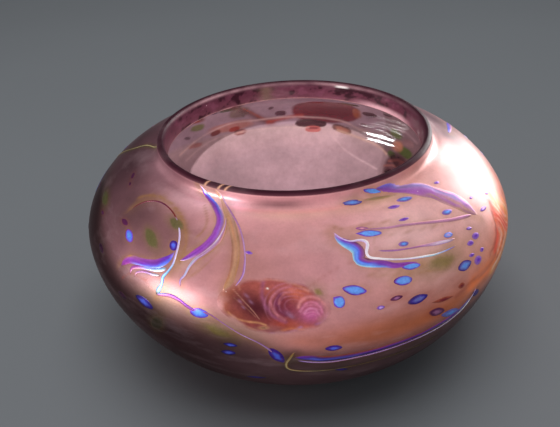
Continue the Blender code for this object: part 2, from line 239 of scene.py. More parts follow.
def ground(az, s):
    """Colour of the lustre before halos, with painted shade, highlights and reflections laid in."""
    az, s = np.broadcast_arrays(np.asarray(az, float), np.asarray(s, float))
    turn = wrapped(az, 0)
    out = np.broadcast_to(ROSE, az.shape + (3,)).copy()
    drift = cloud(az, s, 22.5, 26.0, 11, 3)
    # towards the left the ground turns mauve and plum: the glass's own mauve, darkened further as painted shade for the
    # dark surroundings the left flank reflects
    out = mix(out, MAUVE, ramp(-turn + 10 * drift, 22, 56) * 0.92)
    out = mix(out, PLUM, ramp(-turn + 8 * drift, 52, 84) * 0.85)
    out = mix(out, PEACH, ramp(turn + 10 * drift, 14, 50) * 0.75)
    out = mix(out, BACK_MAUVE, np.maximum(ramp(np.abs(turn), 96, 130) * 0.7, ramp(np.abs(turn), 118, 168)))
    for a, b, wa, ws, colour, strength in WASHES:
        d = (wrapped(az, a) / wa) ** 2 + ((s - b) / ws) ** 2
        wave = 1 + 0.45 * cloud(az, s, 9.0, 8.0, 31 + int(abs(a)), 3)
        out = mix(out, colour, strength * np.exp(-0.9 * d * wave))
    # painted shade: the underside darkened for the dark surroundings it reflects; its edge climbs round the left of the
    # bowl
    edge = np.interp(turn, SHADE_AZ, SHADE_S) + 2.0 * drift
    dim = ramp(edge - s, -5.0, 4.0)
    out = mix(out, DUSK_SHADE, dim * 0.75)
    out = mix(out, mix(UNDER_SHADE + 0 * out, rgb(98, 70, 75), np.maximum(ramp(turn, -32, -2) * (1 - ramp(turn, 70, 100)), ramp(np.abs(turn), 96, 130))), ramp(edge - s, -1.0, 9.0) * 0.95)
    # clouds drawn out round the bowl by the marver, and a few darker threads in them
    out = out * (1 + 0.10 * cloud(az, s, 15.0, 7.0, 51, 4)[..., None])
    drawn = cloud(az, s + 0.10 * wrapped(az, 20), 24.0, 1.6, 71, 3)
    out = mix(out, out * np.array([0.80, 0.70, 0.62]), ramp(drawn, 0.30, 0.75) * 0.55 * ramp(turn, -8, 26) * (1 - ramp(turn, 120, 165)))
    # painted light: the upper shoulder lifted brighter across the front
    out = out * (1 + 0.34 * ramp(s, 26, 36) * ramp(turn, -70, -45) * (1 - ramp(turn, 36, 56)))[..., None]
    # painted reflection: the neck darker at the left and at the sides, for dark surroundings mirrored in its concave
    # sweep
    neck_dark_reflection = ramp(s, 39.8, 43.0) * np.maximum(0.12 + 0.88 * ramp(-turn, 22, 44) * (1 - 0.4 * ramp(-turn, 130, 172)), 0.6 * ramp(np.abs(turn), 80, 110))
    out = mix(out, rgb(120, 78, 90), np.clip(neck_dark_reflection, 0, 1) * 0.5)
    return np.clip(out, 0.002, 0.95)


# ------------------------------------------------------------------ routes
def smooth_route(points, per_span=12):
    """Catmull-Rom through way points of any width."""
    p = np.array(points, float)
    p = np.vstack([2 * p[0] - p[1], p, 2 * p[-1] - p[-2]])
    out = []
    for i in range(1, len(p) - 2):
        for k in range(per_span):
            t = k / per_span
            out.append(
                0.5 * (2 * p[i] + (p[i + 1] - p[i - 1]) * t
                       + (2 * p[i - 1] - 5 * p[i] + 4 * p[i + 1] - p[i + 2]) * t * t
                       + (3 * p[i] - p[i - 1] - 3 * p[i + 1] + p[i + 2]) * t**3)
            )
    out.append(p[-2])
    return np.array(out)


def mm_per_degree(s):
    return math.radians(1.0) * radius_at(s)


def even_route(points, step):
    """Evenly spaced (az, s, extra...) and how far along each is, 0..1."""
    fine = smooth_route(points)
    move = np.diff(fine, axis=0)
    scale = mm_per_degree(0.5 * (fine[1:, 1] + fine[:-1, 1]))
    run = np.concatenate([[0.0], np.cumsum(np.hypot(move[:, 0] * scale, move[:, 1]))])
    count = max(6, int(round(run[-1] / step)))
    at = np.linspace(0.0, run[-1], count + 1)
    return np.stack([np.interp(at, run, fine[:, k]) for k in range(fine.shape[1])], 1), run[-1]


def distance_to_route(az, s, route):
    """Millimetres on the wall from each (az, s) to a route, and the signed side."""
    path, _ = even_route(route, 1.0)
    best = np.full(np.shape(az), 1e9)
    side = np.zeros(np.shape(az))
    for (a0, s0), (a1, s1) in zip(path[:-1, :2], path[1:, :2]):
        k = mm_per_degree(0.5 * (s0 + s1))
        px, py = wrapped(az, a0) * k, s - s0
        dx, dy = (a1 - a0) * k, s1 - s0
        length2 = dx * dx + dy * dy + 1e-9
        t = np.clip((px * dx + py * dy) / length2, 0, 1)
        ex, ey = px - t * dx, py - t * dy
        d = np.hypot(ex, ey)
        near = d < best
        best = np.where(near, d, best)
        side = np.where(near, np.sign(dx * ey - dy * ex), side)
    return best, side


# ------------------------------------------------------------------ the decoration
# Trails. way points: az, s, width (mm).  table: along the trail, colours across it from its
# left edge to its right edge as one walks it; None is the ground showing through.
C = {
    "violet": rgb(104, 52, 178), "deep": rgb(74, 34, 138), "blue": rgb(88, 108, 232), "azure": rgb(104, 156, 240),
    "lilac": rgb(192, 158, 226), "white": rgb(240, 232, 240), "cyan": rgb(150, 214, 232), "magenta": rgb(150, 58, 150),
    "purple": rgb(126, 56, 158), "ochre": rgb(170, 122, 62), "amber": rgb(202, 138, 84), "rust": rgb(140, 66, 52),
    "pink": rgb(222, 150, 168), "mauve": rgb(150, 96, 136), "indigo": rgb(58, 36, 132), "navy": rgb(40, 34, 104),
    "olive": rgb(120, 106, 50), "green": rgb(84, 88, 44), "moss": rgb(52, 54, 34), "cream": rgb(224, 202, 150),
    "plum": rgb(84, 34, 72), "wine": rgb(110, 34, 48), "brown": rgb(110, 62, 50), "sky": rgb(96, 144, 226),
    "slate": rgb(98, 102, 172), "red": rgb(170, 44, 34), "orange": rgb(224, 110, 48), "black": rgb(34, 22, 40), "orchid": rgb(150, 74, 176), "tan": rgb(176, 134, 100), "teal": rgb(128, 200, 196),
    "iris": rgb(140, 98, 180), "fire": rgb(250, 136, 80), "ember": rgb(236, 84, 62), "gold": rgb(240, 170, 96), "blush": rgb(252, 212, 198), "stain": rgb(152, 108, 70), "stain_olive": rgb(112, 96, 52), "stain_moss": rgb(64, 56, 38),
}

TRAILS = {
    "hook_trail": dict(
        route=[(-37, 43.2, 0.9), (-34.4, 41.2, 1.5), (-30.0, 39.0, 2.1), (-25.2, 35.6, 2.4), (-22.6, 32.2, 2.8), (-22.4, 28.9, 3.1),
               (-23.1, 26.0, 3.1), (-24.7, 23.3, 2.8), (-26.5, 21.2, 2.2), (-28.2, 19.4, 1.4), (-29.6, 18.4, 0.6)],
        table=[(0.0, ["lilac", "pink", "cream"]), (0.08, ["lilac", "azure", "violet", "magenta"]),
               (0.24, ["azure", "blue", "violet", "purple", "mauve"]), (0.36, ["lilac", "slate", "violet", "orchid", "mauve"]),
               (0.55, ["mauve", "iris", "orchid", "orchid", "mauve"]), (0.80, ["mauve", "orchid", "purple", "orchid", "magenta"]),
               (1.0, ["lilac", "violet", "purple", "magenta"])]),
    "hook_ribbon": dict(
        route=[(-21.6, 34.4, 0.4), (-20.6, 31.6, 1.0), (-20.5, 28.4, 1.7), (-21.4, 25.4, 2.0), (-23.1, 22.6, 2.0), (-25.1, 20.0, 1.7),
               (-26.2, 17.6, 1.3), (-26.8, 15.0, 1.0), (-27.6, 13.4, 0.7), (-27.2, 11.4, 0.5)], strength=0.72,
        table=[(0.0, ["ochre", "mauve", "lilac"]), (0.3, ["ochre", "pink", "mauve", "lilac", "white"]), (0.55, ["ochre", "mauve", "lilac", "mauve", "lilac"]),
               (0.8, ["ochre", "lilac", "cyan", "lilac"]), (1.0, ["lilac", "violet"])]),
    "amber_trail": dict(
        route=[(-30, 43.0, 1.2), (-27.0, 41.0, 1.6), (-23.4, 37.4, 2.0), (-20.0, 33.6, 2.4), (-17.5, 29.8, 2.7), (-16.0, 26.2, 2.8),
               (-15.3, 22.6, 2.8), (-15.2, 19.4, 2.7), (-15.6, 16.2, 2.4), (-16.8, 13.0, 1.2)], strength=0.55,
        table=[(0.0, ["cream", "amber", "cream"]), (0.12, ["lilac", "tan", "tan", "ochre"]),
               (0.45, ["olive", "tan", "amber", "tan", "olive"]), (0.8, ["ochre", "tan", "tan", "rust"]),
               (1.0, ["tan", "ochre"])]),
    "amber_edge": dict(
        route=[(-27.2, 41.4, 0.4), (-21.7, 37.1, 0.6), (-17.0, 32.3, 0.6), (-14.5, 27.9, 0.6), (-13.1, 23.6, 0.6), (-12.7, 20.2, 0.7), (-12.9, 17.6, 0.7),
               (-14.2, 14.6, 0.5)], strength=0.65,
        table=[(0.0, ["lilac", "violet"]), (0.3, ["mauve", "violet", "mauve"]), (0.6, ["lilac", "mauve"]),
               (1.0, ["lilac", "violet"])]),
    "arc_trail": dict(
        route=[(-54.4, 24.6, 0.25), (-53.4, 27.2, 0.35), (-51.4, 29.6, 0.42), (-48.4, 31.3, 0.5), (-44.4, 31.8, 0.5), (-40.0, 31.0, 0.5), (-36.3, 29.2, 0.5),
               (-33.9, 27.0, 0.6), (-32.3, 24.6, 0.7), (-31.4, 21.8, 0.75), (-31.0, 19.2, 0.75), (-30.9, 16.8, 0.8), (-31.6, 14.4, 0.9), (-32.4, 12.6, 1.2),
               (-32.3, 10.6, 1.3), (-32.8, 8.8, 1.9), (-33.4, 7.2, 2.6)], soft=0.45,
        table=[(0.0, ["wine", "wine"]), (0.3, ["wine", "plum"]), (0.42, ["rust", "wine"]),
               (0.5, ["lilac", "white"]), (0.72, ["white", "lilac", "lilac"]), (0.82, ["azure", "cyan", "lilac"]),
               (0.92, ["sky", "cyan", "azure"]), (1.0, ["cyan", "teal", "cyan"])]),
    "wave_trail": dict(
        route=[(-46.6, 9.0, 0.6), (-45.6, 11.0, 2.6), (-43.9, 12.6, 3.2), (-41.2, 13.6, 3.0), (-38.0, 14.2, 2.9), (-35.2, 15.3, 3.1), (-33.2, 17.1, 2.8),
               (-32.2, 19.0, 1.6), (-31.9, 20.6, 0.6)],
        table=[(0.0, ["magenta", "magenta"]), (0.2, ["ochre", "orchid", "purple", "magenta"]), (0.45, ["orchid", "purple", "violet", "azure"]),
               (0.7, ["orchid", "purple", "violet", "blue", "azure"]), (0.88, ["violet", "violet", "blue"]), (1.0, ["violet", "lilac"])]),
    "wave_ribbon": dict(
        route=[(-42.4, 8.6, 0.6), (-42.5, 10.6, 1.2), (-40.2, 12.2, 1.3), (-37.0, 13.0, 1.3), (-34.2, 13.9, 1.4), (-32.0, 15.2, 0.9)], strength=0.85,
        table=[(0.0, ["magenta", "magenta"]), (0.3, ["magenta", "orchid", "pink"]), (0.55, ["lilac", "azure", "lilac"]), (0.85, ["azure", "cyan", "white"]),
               (1.0, ["cyan", "azure"])]),
    "wave_lower": dict(
        route=[(-40.9, 8.6, 0.4), (-40.4, 10.3, 0.7), (-38.0, 11.6, 0.8), (-35.2, 12.0, 0.9), (-33.2, 12.6, 0.6)], strength=0.6,
        table=[(0.0, ["lilac", "pink"]), (0.5, ["magenta", "orchid", "lilac"]), (1.0, ["cyan", "white"])]),
    "pink_thread": dict(
        route=[(-33.4, 7.0, 0.8), (-31.6, 7.6, 1.1), (-29.4, 8.2, 1.2), (-27.0, 7.9, 1.2), (-24.6, 6.8, 1.1), (-22.4, 6.2, 0.8), (-19.6, 6.2, 0.6),
               (-16.4, 4.4, 0.5), (-13.0, 2.0, 0.5), (-9, -0.6, 0.6), (-6.6, -3.2, 0.8), (-5.0, -6.0, 0.8), (-3.6, -7.8, 0.5)], strength=0.9,
        table=[(0.0, ["azure", "magenta", "pink"]), (0.12, ["violet", "magenta", "pink"]), (0.3, ["violet", "magenta", "orchid"]),
               (0.45, ["purple", "mauve", "ochre"]), (0.7, ["mauve", "lilac", "ochre"]), (1.0, ["violet", "mauve", "lilac"])]),
    "base_trail": dict(
        route=[(-1.4, -6.4, 0.8), (1.5, -6.8, 2.4), (5, -7.5, 2.8), (9, -7.8, 2.6), (14, -7.7, 2.3), (19, -7.6, 2.1), (24, -7.3, 2.0), (30, -7.0, 1.9),
               (36, -6.7, 1.8), (40, -5.5, 1.4), (43, -3.4, 0.8)],
        table=[(0.0, ["violet", "indigo"]), (0.12, ["rust", "indigo", "blue", "indigo"]), (0.35, ["rust", "purple", "indigo", "indigo"]),
               (0.65, ["rust", "purple", "deep", "indigo"]), (0.85, ["purple", "deep", "slate", "slate"]), (1.0, ["slate", "sky"])]),
    "base_thread": dict(
        route=[(-0.8, -8.0, 0.5), (3, -9.3, 0.8), (7.4, -9.8, 0.9), (12.5, -9.5, 0.8), (18, -9.3, 0.8), (23, -9.0, 0.8), (28.5, -8.9, 0.8), (34, -8.7, 0.8),
               (39, -7.6, 0.9), (42.5, -5.2, 0.9), (45.0, -1.2, 0.5)],
        table=[(0.0, ["lilac", "violet"]), (0.15, ["lilac", "pink", "mauve"]), (0.5, ["lilac", "mauve", "plum"]),
               (0.8, ["white", "lilac", "slate"]), (0.93, ["white", "cyan", "slate"]), (1.0, ["lilac", "slate"])]),
    "curl_thread": dict(
        route=[(-1.2, -4.0, 0.6), (-2.3, -6.8, 0.9), (-3.2, -9.6, 0.9), (-2.9, -12.4, 1.0), (-0.7, -13.8, 0.9), (4.6, -14.5, 0.7), (10.7, -14.2, 0.6),
               (16.3, -14.0, 0.5), (22, -13.7, 0.5), (28, -13.9, 0.4), (35, -14.0, 0.3)], strength=0.85,
        table=[(0.0, ["olive", "ochre"]), (0.15, ["ochre", "cream", "olive"]), (0.3, ["moss", "cream", "ochre"]),
               (0.45, ["moss", "ochre", "moss"]), (1.0, ["moss", "olive", "moss"])]),
    "shoulder_trail": dict(
        route=[(28.6, 41.6, 0.8), (32.0, 41.0, 2.2), (35.8, 39.8, 3.8), (39.6, 37.8, 5.0), (43.2, 35.2, 5.8), (46.2, 32.0, 6.0), (48.8, 28.8, 6.2),
               (50.8, 25.8, 6.2), (52.0, 23.2, 5.8), (53.2, 20.6, 4.8), (54.6, 18.0, 2.6)],
        table=[(0.0, ["violet", "mauve"]), (0.12, ["blue", "violet", "purple"]), (0.24, ["lilac", "slate", "iris", "purple", "orchid"]),
               (0.4, ["lilac", "slate", "iris", "orchid", "orchid", "mauve"]), (0.55, ["pink", "slate", "lilac", "orchid", "orchid", "tan", "orchid"]),
               (0.72, ["pink", "iris", "slate", "mauve", "tan", "orchid", "mauve", "tan"]),
               (0.88, ["pink", "iris", "purple", "mauve", "tan", "mauve", "tan"]), (1.0, ["mauve", "mauve"])], strength=0.82),
    "lilac_thread": dict(
        route=[(52.4, 19.2, 0.8), (48.5, 20.6, 1.4), (44.9, 21.9, 1.3), (40, 23.8, 1.1), (35.2, 25.5, 1.1), (30.3, 26.9, 1.1), (25.6, 27.8, 0.9), (21.6, 28.6, 0.7),
               (18.6, 29.2, 0.4)], strength=0.55,
        table=[(0.0, ["mauve", "orchid"]), (0.5, ["mauve", "orchid", "pink"]), (1.0, ["mauve", "orchid"])]),
    "zigzag_trail": dict(
        route=[(9.9, 29.4, 0.6), (10.8, 27.8, 1.8), (12.2, 26.4, 2.6), (14.0, 25.0, 3.4), (15.0, 23.5, 4.0), (14.9, 22.1, 4.2), (14.8, 20.9, 3.6),
               (16.2, 19.9, 2.9), (18.4, 19.0, 2.5), (20.6, 18.2, 2.2), (22.8, 17.2, 1.8), (25.8, 16.6, 1.2), (29.0, 16.0, 0.6)], soft=0.5,
        table=[(0.0, ["lilac", "purple"]), (0.10, ["orchid", "violet", "sky", "cyan"]), (0.24, ["plum", "purple", "blue", "azure", "cyan"]),
               (0.36, ["plum", "mauve", "purple", "blue", "azure", "blue", "cyan"]), (0.48, ["plum", "mauve", "purple", "blue", "sky", "azure", "cyan"]),
               (0.60, ["purple", "purple", "violet", "azure"]), (0.70, ["purple", "orchid", "orchid"]), (0.85, ["orchid", "purple", "orchid"]),
               (1.0, ["orchid", "mauve"])]),
    "zigzag_line": dict(
        route=[(10.0, 30.0, 0.35), (11.0, 28.5, 0.6), (12.4, 27.2, 0.7), (14.0, 26.5, 0.7), (16.0, 26.4, 0.75), (17.4, 25.9, 0.95), (18.0, 24.9, 1.05), (17.6, 23.8, 0.95),
               (17.1, 22.7, 0.85), (17.1, 21.6, 0.85), (17.9, 20.8, 0.8), (19.5, 20.2, 0.7), (21.5, 19.4, 0.65), (25.9, 18.0, 0.6), (31, 16.7, 0.7), (34, 16.0, 0.6),
               (38, 15.4, 0.4), (41, 15.2, 0.25)], soft=0.4,
        table=[(0.0, ["lilac", "lilac"]), (0.2, ["white", "lilac"]), (0.35, ["white", "white"]), (0.6, ["white", "white", "lilac"]),
               (0.82, ["white", "cyan"]), (0.9, ["azure", "lilac"]), (1.0, ["mauve", "violet"])]),
    "fine_thread": dict(
        route=[(19.8, 22.4, 0.4), (23.3, 21.4, 0.7), (26.9, 20.6, 0.6), (31.4, 19.7, 0.8), (36, 18.5, 1.2), (39.5, 17.5, 0.9), (42, 17.0, 0.5)], strength=0.75,
        table=[(0.0, ["mauve", "violet"]), (0.5, ["pink", "orchid", "mauve"]), (0.85, ["lilac", "white", "lilac"]), (1.0, ["mauve", "mauve"])]),
    "rim_thread": dict(
        route=[(-80, 43.2, 0.8), (-85, 39.6, 1.0), (-88.4, 36.0, 1.1), (-90.6, 31.0, 1.0), (-94.5, 24.8, 0.9), (-99, 18.4, 0.8), (-103, 12.0, 0.5)],
        table=[(0.0, ["moss", "cream", "moss"]), (0.3, ["moss", "cream", "olive"]), (0.7, ["olive", "cream", "ochre"]), (1.0, ["ochre", "amber"])]),
    "back_brown_trail": dict(
        route=[(-157, 10.5, 0.8), (-160, 7.8, 1.4), (-164, 5.6, 1.5), (-168, 3.0, 1.4), (-173, -0.4, 1.0), (-178, -2.0, 0.6)],
        table=[(0.0, ["green", "brown"]), (0.4, ["rust", "wine", "brown"]), (1.0, ["amber", "rust"])]),
    "back_red_streak": dict(
        route=[(-133, 3.6, 0.8), (-137, 6.4, 1.6), (-141, 8.2, 1.8), (-145, 10.0, 1.4), (-149, 11.4, 0.6)],
        table=[(0.0, ["wine", "red"]), (0.5, ["rust", "red", "wine"]), (1.0, ["rust", "rust"])]),
    "back_shoulder_trail": dict(
        route=[(92, 33.0, 0.8), (98, 30.4, 2.0), (105, 26.6, 2.6), (111, 21.6, 2.4), (115.5, 16.0, 2.0), (118, 10.8, 1.0)],
        table=[(0.0, ["blue", "violet"]), (0.3, ["blue", "violet", "purple", "pink"]), (0.7, ["violet", "purple", "magenta", "ochre"]),
               (1.0, ["purple", "mauve"])]),
    # threads that carry the far side on, as far as they show through the mouth
    "back_green_thread": dict(
        route=[(-149, 12.0, 0.7), (-153, 10.4, 1.4), (-158, 10.6, 1.2), (-163, 11.6, 0.6)],
        table=[(0.0, ["green", "moss"]), (0.5, ["olive", "green", "moss"]), (1.0, ["olive", "olive"])]),
    "left_amber_thread": dict(
        route=[(-112, 30.0, 0.6), (-116, 24.0, 1.2), (-118, 17.0, 1.4), (-115, 10.0, 1.2), (-108, 5.0, 0.6)],
        table=[(0.0, ["lilac", "amber"]), (0.5, ["lilac", "ochre", "rust"]), (1.0, ["amber", "rust"])]),
    "left_violet_trail": dict(
        route=[(-86, 9.0, 0.7), (-92, 12.0, 1.8), (-99, 12.8, 2.1), (-106, 11.2, 1.9), (-112, 7.6, 1.6), (-117, 2.4, 1.0)],
        table=[(0.0, ["violet", "blue"]), (0.4, ["ochre", "purple", "deep", "blue", "lilac"]), (1.0, ["purple", "lilac"])]),
    "back_base_trail": dict(
        route=[(122, -15.0, 0.8), (132, -16.4, 1.9), (144, -17.0, 2.0), (157, -16.4, 1.9), (169, -15.4, 1.6), (179, -15.2, 0.8)],
        table=[(0.0, ["indigo", "violet"]), (0.3, ["ochre", "purple", "indigo", "indigo"]), (0.8, ["amber", "purple", "deep", "indigo"]), (1.0, ["purple", "mauve"])]),
}

# Chips and patches: az, s, length, width, tilt, kind, pointed left, pointed right.
CHIPS = {
    "plum_chip_1": (-53.2, 20.4, 4.7, 1.8, 0, "plum", 0.3, 0.2),
    "blue_chip_1": (-48.4, 18.2, 5.9, 3.1, -19, "blue_l", 0.15, 0.1),
    "blue_chip_2": (-32.9, 21.8, 3.7, 2.9, -31, "indigo", 0.1, 0.1),
    "plum_chip_2": (-57.5, 8.2, 5.3, 2.4, -10, "dark", 0.2, 0.2),
    "violet_chip_1": (-21.8, 5.8, 6.4, 3.1, 5, "bright_violet", 0.1, 0.15),
    "navy_chip_1": (-36.9, 2.8, 8.2, 3.4, -9, "navy", 0.25, 0.15),
    "navy_chip_2": (-15.0, -3.0, 4.7, 1.8, 1, "navy", 0.3, 0.3),
    "navy_chip_3": (-15.8, -6.6, 5.2, 2.6, 9, "navy", 0.35, 0.35),
    "navy_chip_4": (-45.4, -0.4, 5.2, 2.8, 3, "dark", 0.3, 0.2),
    "navy_chip_5": (-11.2, -21.4, 7.6, 2.2, 12, "navy_dim", 0.5, 0.5),
    "violet_chip_2": (-5.1, -5.8, 7.9, 3.9, -62, "indigo", 0.2, 0.3),
    "blue_chip_3": (19.4, 39.3, 6.8, 2.6, -8, "blue_d", 0.2, 0.2),
    "violet_chip_3": (36.0, 34.3, 6.0, 2.0, -11, "blue_v", 0.3, 0.2),
    "violet_chip_4": (45.2, 24.5, 4.6, 2.0, -12, "blue_v", 0.2, 0.2),
    "mauve_chip_1": (58.4, 17.4, 5.5, 1.5, -11, "mauve", 0.4, 0.4),
    "violet_chip_5": (48.9, 13.8, 4.1, 2.2, -9, "purple", 0.1, 0.1),
    "blue_chip_4": (19.3, 27.7, 8.2, 2.2, -12, "azure", 1.0, 0.1),
    "violet_chip_6": (27.2, 22.0, 3.7, 1.7, -8, "blue_v", 0.2, 0.2),
    "blue_chip_5": (26.7, 15.6, 6.4, 2.1, -10, "azure", 0.35, 0.3),
    "blue_chip_6": (23.6, 12.6, 6.3, 2.8, -7, "sky", 0.3, 0.1),
    "blue_chip_7": (12.2, 13.2, 7.3, 2.9, -14, "sky", 0.2, 0.45),
    "navy_chip_6": (26.2, 6.3, 7.5, 2.8, 2, "navy_v", 0.25, 0.4),
    "plum_chip_3": (31.2, -0.5, 7.6, 3.3, -20, "plum_b", 0.3, 0.3),
    "slate_chip_1": (36.0, -4.2, 9.8, 3.2, -18, "slate", 0.4, 0.8),
    "violet_chip_7": (41.2, 8.8, 6.8, 3.2, -4, "blue_d", 0.2, 0.35),
    "violet_chip_8": (46.2, 7.5, 4.4, 2.9, -8, "purple", 0.1, 0.3),
    "brown_chip_1": (32.9, 2.8, 10.2, 1.7, -10, "rust", 0.8, 0.7),
    "indigo_chip_1": (6.9, -3.4, 5.3, 2.5, -4, "indigo", 0.2, 0.25),
    "navy_chip_7": (45.3, -3.6, 6.0, 3.0, -31, "navy_dim", 0.3, 0.3),
    "green_patch_1": (-33.8, -3.4, 9.4, 4.4, 51, "moss_f", 0.2, 0.2),
    "olive_patch_1": (-70.9, 18.6, 10.8, 3.7, -2, "olive_f", 0.2, 0.2),
    "olive_patch_2": (-35.6, 28.0, 7.6, 3.8, -14, "olive_f", 0.3, 0.2),
    "olive_patch_3": (-40.6, 21.0, 10.0, 4.2, -24, "olive_f", 0.3, 0.3),
    "olive_patch_4": (35.0, 13.2, 15.5, 6.4, -6, "gold_f", 0.3, 0.4),
    "olive_patch_5": (-17.6, 1.6, 11.8, 4.4, -16, "gold_f", 0.4, 0.4),
    "green_patch_2": (-156, 10.0, 7.4, 3.8, 20, "moss_f", 0.4, 0.5),
    "blue_chip_8": (151.5, 5.3, 4.6, 3.5, 0, "dark", 0.1, 0.1),
    "navy_chip_8": (145.0, 7.6, 3.8, 2.6, 0, "dark", 0.1, 0.1),
}

# Grit and slivers too small to be pieces in the CAD; they ride on the bowl all the same.
GRIT = {
    "grit_01": (-69.2, 31.0, 3.6, 1.5, -21, "plum", 0.4, 0.3),
    "grit_02": (-65.7, 29.0, 2.3, 0.9, -11, "plum", 0.3, 0.3),
    "grit_03": (-66.0, 15.8, 3.3, 1.2, 5, "plum", 0.3, 0.3),
    "grit_04": (-12.2, 24.4, 2.5, 1.1, -11, "purple", 0.3, 0.5),
    "grit_05": (28.2, 41.2, 7.4, 1.8, -20, "azure", 0.2, 0.6),
    "grit_06": (30.8, 33.3, 4.6, 1.4, -7, "purple", 0.4, 0.3),
    "grit_07": (31.0, 28.6, 4.0, 1.1, -5, "purple", 0.5, 0.3),
    "grit_08": (51.8, 33.3, 2.6, 1.2, -19, "purple", 0.2, 0.3),
    "grit_09": (65.6, 18.6, 2.9, 1.0, -23, "mauve", 0.3, 0.3),
    "grit_10": (48.2, 16.8, 3.2, 1.2, -18, "mauve", 0.4, 0.4),
    "grit_11": (40.6, 18.9, 4.1, 1.9, -12, "lilac", 0.2, 0.3),
    "grit_12": (45.9, 13.2, 3.6, 1.7, -14, "purple", 0.2, 0.2),
    "grit_13": (18.1, 29.6, 4.0, 1.3, -12, "rose", 0.5, 0.4),
    "grit_14": (8.4, 10.8, 4.1, 3.4, -45, "azure", 0.9, 0.1),
    "grit_15": (21.2, 8.6, 4.4, 1.5, 0, "plum_b", 0.3, 0.5),
    "grit_16": (17.2, 7.2, 3.0, 1.4, -3, "mauve", 0.3, 0.3),
    "grit_17": (44.6, 10.1, 2.9, 1.2, -11, "purple", 0.2, 0.2),
    "grit_18": (48.9, 9.2, 2.5, 1.4, -9, "purple", 0.2, 0.2),
    "grit_19": (38.8, 3.8, 3.6, 2.0, -12, "rust", 0.3, 0.3),
    "grit_20": (9.2, -15.5, 4.8, 1.8, -18, "navy_dim", 0.4, 0.4),
    "grit_21": (4.2, 13.9, 3.8, 2.4, -34, "gold_f", 0.2, 0.3),
    "grit_22": (28.5, 38.2, 13.0, 2.6, -14, "gold_f", 0.5, 0.5),
    "grit_23": (63.5, 12.0, 3.2, 1.3, -15, "plum", 0.3, 0.3),
    "grit_24": (57.5, 22.6, 2.4, 1.0, -10, "mauve", 0.3, 0.3),
    "grit_25": (-176.1, 4.1, 3.4, 2.2, 0, "dark", 0.2, 0.2),
    "grit_26": (-170.6, 9.4, 3.2, 1.5, 25, "dark", 0.2, 0.2),
    "grit_27": (155.0, 11.4, 3.4, 1.5, 0, "dark", 0.3, 0.2),
    "grit_28": (-138.4, 2.2, 3.2, 1.4, 20, "plum", 0.3, 0.3),
    "grit_29": (-147.6, 5.6, 4.6, 2.4, 25, "moss_f", 0.3, 0.3),
    "grit_30": (-150.5, -1.2, 3.6, 2.0, 0, "rust", 0.3, 0.3),
    "grit_31": (-158.0, -2.0, 3.2, 1.8, 0, "rust", 0.3, 0.3),
    "grit_32": (138.5, -10.9, 8.0, 4.2, 0, "moss_f", 0.3, 0.3),
    "grit_33": (141.4, -4.0, 6.0, 2.8, 25, "olive_f", 0.3, 0.3),
    # guessed: the sides away from the front, kept in the same scatter
    "grit_34": (101, 20.5, 4.6, 2.2, -12, "blue_v", 0.2, 0.2),
    "grit_35": (96, 14.0, 5.2, 2.4, -10, "azure", 0.2, 0.3),
    "grit_36": (108, 12.5, 4.0, 2.0, -14, "purple", 0.2, 0.2),
    "grit_37": (122, 21.0, 5.4, 2.3, 10, "sky", 0.2, 0.3),
    "grit_38": (128, 14.0, 4.4, 2.4, 8, "navy_v", 0.2, 0.2),
    "grit_39": (116, 3.5, 6.2, 2.8, -8, "indigo", 0.3, 0.3),
    "grit_40": (103, 3.0, 4.2, 2.0, -10, "plum_b", 0.2, 0.2),
    "grit_41": (131, 4.0, 3.6, 1.8, 0, "purple", 0.2, 0.2),
    "grit_42": (126, 29.0, 3.2, 1.4, 0, "plum", 0.2, 0.2),
    "grit_43": (140, 22.0, 3.8, 1.6, 10, "violet", 0.3, 0.3),
    "grit_44": (168, 24.0, 5.0, 2.2, 5, "blue_l", 0.2, 0.2),
    "grit_45": (176, 19.5, 3.6, 1.8, 0, "purple", 0.2, 0.2),
    "grit_46": (-168, 22.0, 4.4, 2.0, -8, "indigo", 0.2, 0.2),
    "grit_47": (-84, 14.5, 4.4, 1.8, 0, "plum", 0.2, 0.2),
    "grit_48": (-96, 4.5, 6.4, 2.8, -6, "navy", 0.3, 0.2),
    "grit_49": (-104, 19.0, 4.4, 2.2, 8, "blue_l", 0.2, 0.2),
    "grit_50": (-124, 19.0, 3.8, 1.8, 0, "plum", 0.2, 0.2),
    "grit_51": (-128, 11.0, 5.4, 2.6, 10, "indigo", 0.2, 0.3),
    "grit_52": (-122, 0.0, 4.8, 2.2, 0, "navy", 0.2, 0.2),
    "grit_53": (-76, 3.0, 4.6, 2.2, -8, "dark", 0.2, 0.2),
    "grit_54": (-84, -3.5, 6.2, 2.6, 10, "navy_dim", 0.3, 0.3),
    "grit_55": (-143, 20.0, 4.6, 1.8, 12, "purple", 0.3, 0.3),
    "grit_56": (86, 2.5, 5.2, 2.2, -10, "plum_b", 0.3, 0.3),
    "grit_57": (72, -2.5, 5.4, 2.2, -16, "navy_v", 0.3, 0.3),
    "grit_58": (62, -4.5, 4.6, 2.0, -20, "plum_b", 0.3, 0.3),
    "grit_59": (160, -2.0, 4.2, 1.8, 0, "rust", 0.3, 0.3),
    "grit_61": (-134.0, 3.0, 7.4, 2.6, 20, "flame", 0.3, 0.3),
    "grit_62": (-141.0, 5.6, 5.4, 2.0, 15, "flame", 0.3, 0.3),
    "grit_63": (-144.6, 1.6, 4.6, 2.4, 10, "olive_f", 0.3, 0.3),
    "grit_64": (-151.5, 1.2, 5.0, 1.8, -5, "rust", 0.3, 0.3),
    "grit_65": (144.0, -15.6, 8.6, 5.4, 0, "plum_b", 0.3, 0.3),
    "grit_66": (173.6, -2.4, 13.0, 2.8, 0, "dark", 0.1, 0.1),
    "grit_67": (172.6, -5.6, 5.0, 2.2, 0, "rust", 0.1, 0.1),
    "grit_68": (162.2, -4.4, 7.0, 2.6, 0, "rust", 0.1, 0.1),
    "grit_60": (-132, 27.0, 4.0, 1.6, 0, "olive_f", 0.3, 0.3),
}

